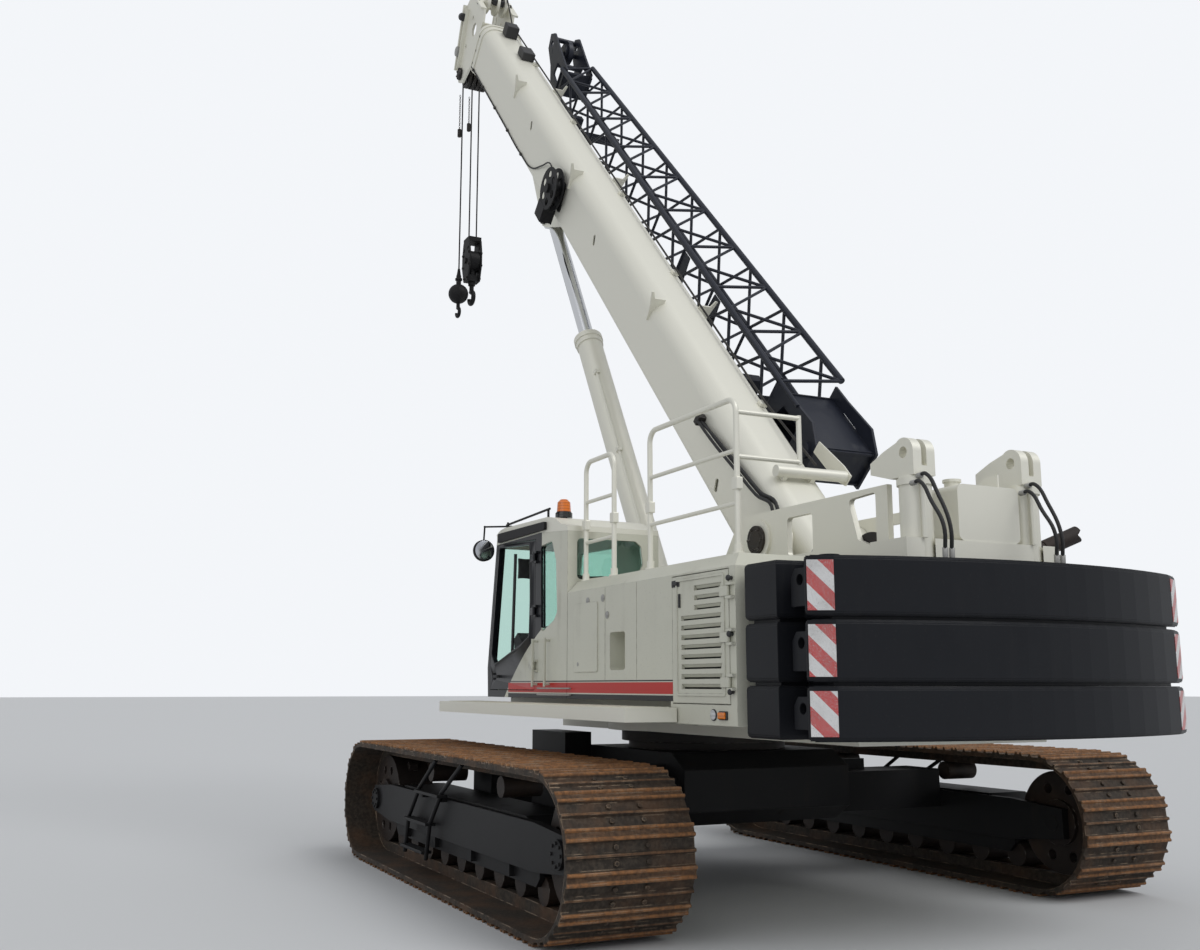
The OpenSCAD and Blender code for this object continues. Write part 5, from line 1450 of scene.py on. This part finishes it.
@dataclass
class CabFittings:
    """Seat, levers, handles and mirrors of the cab."""

    floor: float = 1.4853
    seat_x: float = 0.12
    seat_y: float = 1.07

    def cushion(self, low: Point, high: Point, crown: float, pinch: float) -> bpy.types.Object:
        """Makes a padded cushion: crowned faces and sides that pull in between the corners.

        Args:
            low: lowest corner.
            high: highest corner.
            crown: how far each face stands out at its middle.
            pinch: how far each side pulls in at its middle.

        Returns:
            The new piece.
        """
        Bench.clear()
        bpy.ops.mesh.primitive_cube_add(size=2.0)
        piece = bpy.context.object
        bpy.ops.object.mode_set(mode="EDIT")
        bpy.ops.mesh.select_all(action="SELECT")
        bpy.ops.mesh.subdivide(number_cuts=9)
        bpy.ops.object.mode_set(mode="OBJECT")
        middle = [(a + b) / 2.0 for a, b in zip(low, high)]
        half = [(b - a) / 2.0 for a, b in zip(low, high)]
        thin = half.index(min(half))
        for vertex in piece.data.vertices:
            part = list(vertex.co)
            others = [axis for axis in range(3) if axis != thin]
            swell = 1.0
            for axis in others:
                swell *= math.cos(part[axis] * math.pi / 2.0 * 0.92)
            moved = [part[axis] * half[axis] for axis in range(3)]
            moved[thin] += math.copysign(crown * swell, part[thin]) * abs(part[thin])
            for axis, other in (others, others[::-1]):
                moved[axis] -= part[axis] ** 3 * pinch * math.cos(part[other] * math.pi / 2.0)
            vertex.co = [middle[axis] + moved[axis] for axis in range(3)]
        Bench.round_off(piece, 0.022, 3, 40.0)
        soft = piece.modifiers.new("soft", "SUBSURF")
        soft.levels = 1
        Bench.apply(piece)
        bpy.ops.object.shade_smooth()
        return piece

    def seat(self, fitter: Fitter, finishes: Finishes) -> None:
        """Makes the seat in the place of its plain solid."""
        x, y, z = self.seat_x, self.seat_y, self.floor
        base = Bench.cushion_frame((x, y, z))
        fitter.fit(base, "seat_suspension", "upper", finishes.plastic)
        squab = self.cushion((x - 0.045, y - 0.21, z + 0.262), (x + 0.41, y + 0.21, z + 0.37), 0.012, 0.014)
        back = self.cushion((x - 0.085, y - 0.2, z + 0.385), (x + 0.01, y + 0.2, z + 0.80), 0.014, 0.014)
        head = self.cushion((x - 0.075, y - 0.12, z + 0.835), (x + 0.0, y + 0.12, z + 0.965), 0.008, 0.008)
        for piece, name in ((squab, "seat_squab"), (back, "seat_back"), (head, "seat_headrest")):
            fitter.fit(piece, name, "upper", finishes.fabric)
        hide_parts("seat")

    def levers(self, fitter: Fitter, finishes: Finishes) -> None:
        """Makes a lever with a moulded grip on each console."""
        parts = []
        for y in (0.785, 1.35):
            x, z = 0.53, self.floor + 0.545
            parts.append(Bench.rod((x, y, z - 0.004), (x, y, z + 0.012), 0.034, 24, 0.004))
            parts.append(Bench.rod((x, y, z), (x + 0.012, y, z + 0.12), 0.008, 14))
            parts.append(Bench.grip((x + 0.012, y, z + 0.10), (x + 0.02, y, z + 0.21)))
        fitter.fit(Bench.join(parts), "control_levers", "upper", finishes.plastic)

    def handles(self, fitter: Fitter, finishes: Finishes) -> None:
        """Makes the door's lever, the inner mirror and the boarding bars."""
        y = 1.48
        lever = Bench.join([
            Bench.rod((1.10, y - 0.02, 1.62), (1.10, y + 0.018, 1.62), 0.013, 20, 0.002),
            Bench.block((1.10 - 0.012, y + 0.012, 1.608), (1.10 + 0.085, y + 0.024, 1.632), 0.005, 3),
        ])
        fitter.fit(lever, "cab_door_lever", "cab_door", finishes.plastic)
        bars = []
        for z in (1.468, 1.518):
            bars.append(
                Bench.hose(
                    [
                        (-0.46, y - 0.004, z),
                        (-0.455, y + 0.022, z),
                        (0.16, y + 0.022, z),
                        (0.165, y - 0.004, z),
                    ],
                    0.006,
                )
            )
        fitter.fit(Bench.join(bars), "boarding_bars", "upper", finishes.bright)
        post = Bench.rod((0.98, 1.40, self.floor + 0.3), (0.93, 1.40, 2.70), 0.014, 16, 0.003)
        fitter.fit(post, "cab_inner_post", "upper", finishes.plastic)
        glass = self.cushion((0.90, 1.26, 2.48), (0.925, 1.38, 2.66), 0.003, 0.004)
        fitter.fit(glass, "inner_mirror", "upper", finishes.plastic)
        face = Bench.rod((1.1965, 1.6, 2.7483), (1.190, 1.6, 2.7483), 0.089, 44, 0.002)
        fitter.fit(face, "outer_mirror_face", "upper", finishes.mirror)

    def build(self, fitter: Fitter, finishes: Finishes) -> None:
        """Makes everything in and on the cab."""
        self.seat(fitter, finishes)
        self.levers(fitter, finishes)
        self.handles(fitter, finishes)


@dataclass
class TailHoses:
    """Hydraulic hoses of the counterweight towers, with their crimped ends."""

    towers: tuple[float, float] = (0.44, -0.44)

    def build(self, fitter: Fitter, finishes: Finishes) -> None:
        """Makes two hoses at each tower."""
        parts, ends = [], []
        for y in self.towers:
            for shift, drop in ((0.0, 0.0), (0.05, 0.05)):
                route = [
                    (-3.40, y + 0.06 + shift, 2.80 - drop), (-3.47, y + 0.07 + shift, 2.80 - drop),
                    (
                        -3.58, y + 0.08 + shift, 2.66 - drop,
                    ), (-3.66, y + 0.07 + shift, 2.46), (-3.64, y + 0.05 + shift, 2.30),
                ]
                parts.append(Bench.hose(route, 0.012))
                ends.append(
                    Bench.rod(
                        (-3.385, y + 0.06 + shift, 2.80 - drop),
                        (-3.43, y + 0.065 + shift, 2.80 - drop),
                        0.017,
                        18,
                        0.003,
                    )
                )
                ends.append(
                    Bench.rod(
                        (-3.641, y + 0.05 + shift, 2.335),
                        (-3.639, y + 0.05 + shift, 2.262),
                        0.017,
                        18,
                        0.003,
                    )
                )
        fitter.fit(Bench.join(parts), "tower_hoses", "upper", finishes.rubber)
        fitter.fit(Bench.join(ends), "tower_hose_ends", "upper", finishes.bright)


@dataclass
class BoomLines:
    """Ropes, cable, hoses and pins along the boom, in its own coordinates."""

    top: float = 0.21
    side: float = 0.28
    front: float = 10.34

    def build(self, fitter: Fitter, finishes: Finishes) -> None:
        """Makes the lines of the base section."""
        stand = fitter.layout.boom
        rope_z = self.top + 0.05
        ropes = [Bench.rod((0.56, y, self.top + 0.118), (1.5, y, rope_z), 0.01, 12) for y in (-0.155,)]
        ropes += [Bench.rod((1.5, y, rope_z), (self.front, y, rope_z), 0.01, 12) for y in (-0.155,)]
        fitter.fit(Bench.join(ropes), "hoist_rope_base", "boom", finishes.rope, stand)
        cable = Bench.hose([
            (6.14, self.side + 0.12, 0.05), (6.40, self.side + 0.08, 0.02), (6.72, self.side + 0.03, -0.16), (
                7.05, self.side + 0.012, -0.34,
            ),
            (7.5, self.side + 0.010, -0.385), (8.4, self.side + 0.010, -0.385), (
                self.front, self.side + 0.010, -0.385,
            ),
        ], 0.009)
        fitter.fit(cable, "boom_cable", "boom", finishes.rubber, stand)
        hoses = []
        for y, lift in ((0.31, 0.0), (0.335, 0.03), (0.36, 0.0)):
            hoses.append(Bench.hose([
                (0.26, y, -0.02 + lift), (0.12, y + 0.01, 0.06 + lift), (0.14, y + 0.012, 0.17 + lift),
                (0.42, y, 0.10 + lift), (0.80, y - 0.01, 0.04 + lift), (
                    1.25, y - 0.012, -0.02 + lift,
                ), (1.6, y - 0.015, -0.05),
            ], 0.013))
        fitter.fit(Bench.join(hoses), "boom_foot_hoses", "boom", finishes.rubber, stand)
        clamps = [
            Bench.block((u, self.side, -0.09), (u + 0.06, self.side + 0.075, 0.0), 0.005, 2)
            for u in (1.56,)
        ]
        clamps += [
            Bench.block((u, self.side - 0.002, -0.40), (u + 0.05, self.side + 0.024, -0.37), 0.003, 2)
            for u in (7.5, 8.2, 8.9, 9.6, 10.2)
        ]
        fitter.fit(Bench.join(clamps), "line_clamps", "boom", finishes.cast, stand)
        studs = []
        for u, v in ((10.39, 0.05), (10.39, -0.15), (10.39, -0.33)):
            for s in (1.0, -1.0):
                head = Bench.hexagon(0.02, 0.0, 0.016)
                head.data.transform(
                    Matrix.Translation((u - 0.045, s * 0.279, v)) @ Matrix.Rotation(
                        -s * math.pi / 2.0, 4, "X",
                    )
                )
                studs.append(head)
        for s in (1.0, -1.0):
            cap = Bench.rod((6.6, s * 0.112, -0.74), (6.6, s * 0.15, -0.74), 0.072, 32, 0.006)
            studs.append(cap)
        fitter.fit(Bench.join(studs), "boom_bolts", "boom", finishes.cast, stand)
        boxes = [
            Bench.block((9.22, -0.15, self.top + 0.001), (9.46, 0.02, self.top + 0.11), 0.012, 3),
            Bench.block((10.02, -0.12, self.top + 0.001), (10.20, 0.05, self.top + 0.16), 0.012, 3),
        ]
        fitter.fit(Bench.join(boxes), "boom_top_boxes", "boom", finishes.plastic, stand)


@dataclass
class HeadFittings:
    """Lamp, boxes, weights and ropes at the boom's head."""

    reach: float = 10.95
    drop: float = -0.72

    def build(self, fitter: Fitter, finishes: Finishes) -> None:
        """Makes the fittings of the tip section."""
        stand = fitter.layout.boom
        u, v = self.reach, self.drop
        box = Bench.block((u - 0.05, -0.10, 0.345), (u + 0.36, 0.06, 0.43), 0.012, 3)
        lid = Bench.block((u - 0.02, -0.085, 0.425), (u + 0.30, 0.045, 0.45), 0.008, 3)
        fitter.fit(Bench.join([box, lid]), "head_sensor_box", "tip", finishes.plastic, stand)
        rope = Bench.hose(
            [(10.47, -0.155, 0.262), (10.6, -0.15, 0.32), (10.8, -0.14, 0.41), (10.97, -0.13, 0.484)], 0.01,
        )
        fitter.fit(rope, "hoist_rope_head", "tip", finishes.rope, stand)
        nuts = []
        for s in (1.0, -1.0):
            nuts.append(Bench.rod((u, s * 0.226, v), (u, s * 0.262, v), 0.085, 36, 0.006))
            for turn in range(6):
                head = Bench.hexagon(0.014, 0.0, 0.012)
                angle = turn * math.pi / 3.0
                spot = (u + 0.065 * math.cos(angle), s * 0.261, v + 0.065 * math.sin(angle))
                head.data.transform(Matrix.Translation(spot) @ Matrix.Rotation(-s * math.pi / 2.0, 4, "X"))
                nuts.append(head)
            nuts.append(
                Bench.rod((u + 0.06, s * 0.226, 0.33), (u + 0.06, s * 0.245, 0.33), 0.05, 28, 0.005)
            )
        fitter.fit(Bench.join(nuts), "head_axle_caps", "tip", finishes.cast, stand)
        lamp = Bench.join([
            Bench.rod((u + 0.40, 0.235, 0.0), (u + 0.40, 0.30, 0.0), 0.01, 14),
            Bench.rod((u + 0.36, 0.29, -0.03), (u + 0.44, 0.30, -0.05), 0.055, 28, 0.012),
        ])
        fitter.fit(lamp, "head_lamp_body", "tip", finishes.plastic, stand)
        roller = Bench.rod((u + 0.28, 0.22, -0.50), (u + 0.28, 0.30, -0.50), 0.07, 32, 0.012)
        fitter.fit(roller, "head_guide_roller", "tip", finishes.bright, stand)
        post = stand.matrix @ Vector((u, 0.0, v))
        origin = fitter.layout.crane.matrix.inverted() @ post
        parts, chains = [], []
        rope_x = origin.x + 0.19
        for y, low, across in ((-0.02, 0.62, 0.03), (0.12, 0.74, 0.03)):
            z = origin.z - low
            parts.append(
                Bench.rod(
                    (rope_x + across, y + 0.03, z - 0.12), (rope_x + across, y + 0.03, z), 0.028, 24, 0.008,
                )
            )
            chains.append(Bench.chain((rope_x + across, y + 0.03, z), low - 0.2))
        fitter.fit(Bench.join(parts), "switch_weights", "hooks", finishes.cast)
        fitter.fit(Bench.join(chains), "switch_chains", "hooks", finishes.cast)


@dataclass
class HookFittings:
    """Bolts in the hook block's cheeks."""

    top: float = 7.85
    reach: float = 10.95
    drop: float = -0.72
    rope: float = 0.1903
    middle: float = -0.075

    def build(self, fitter: Fitter, finishes: Finishes) -> None:
        """Makes six bolt heads on either cheek."""
        crane = fitter.layout.crane
        x = (crane.matrix.inverted() @ fitter.layout.boom.at(self.reach, 0.0, self.drop)).x + self.rope
        heads = []
        for s in (1.0, -1.0):
            for dx, dz in (
                (0.12, -0.24), (-0.12, -0.24), (0.12, -0.42), (-0.12, -0.42), (0.06, -0.6), (-0.06, -0.6),
            ):
                head = Bench.hexagon(0.018, -0.002, 0.013)
                place = Matrix.Translation((x + dx, self.middle + s * 0.095, self.top + dz))
                head.data.transform(place @ Matrix.Rotation(-s * math.pi / 2.0, 4, "X"))
                heads.append(head)
        fitter.fit(Bench.join(heads), "block_bolts", "hooks", finishes.cast)


def main() -> None:
    """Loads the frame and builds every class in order."""
    global EFFECTS
    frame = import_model()
    Bench.clear()
    swing = next(joint for joint in frame["joints"] if joint["name"] == "swing")
    layout = Layout(swing["pos_m"][0])
    EFFECTS = Effects()
    Viewpoint().build(layout)
    Studio().build()
    finishes = Finishes(layout)
    finishes.paint_frame(frame["nodes"])
    fitter = Fitter(layout)
    TrackBolts().build(fitter, finishes.track)
    SlabPlates().build(fitter, finishes)
    CabDoor().build(fitter, finishes, frame["nodes"]["cab_door"])
    SideFittings().build(fitter, finishes)
    CabFittings().build(fitter, finishes)
    TailHoses().build(fitter, finishes)
    BoomLines().build(fitter, finishes)
    HeadFittings().build(fitter, finishes)
    HookFittings().build(fitter, finishes)
    LOG.info("%d pieces fitted", fitter.count)


if __name__ == "__main__":
    logging.basicConfig(level=logging.INFO, format="%(name)s %(message)s")
    main()
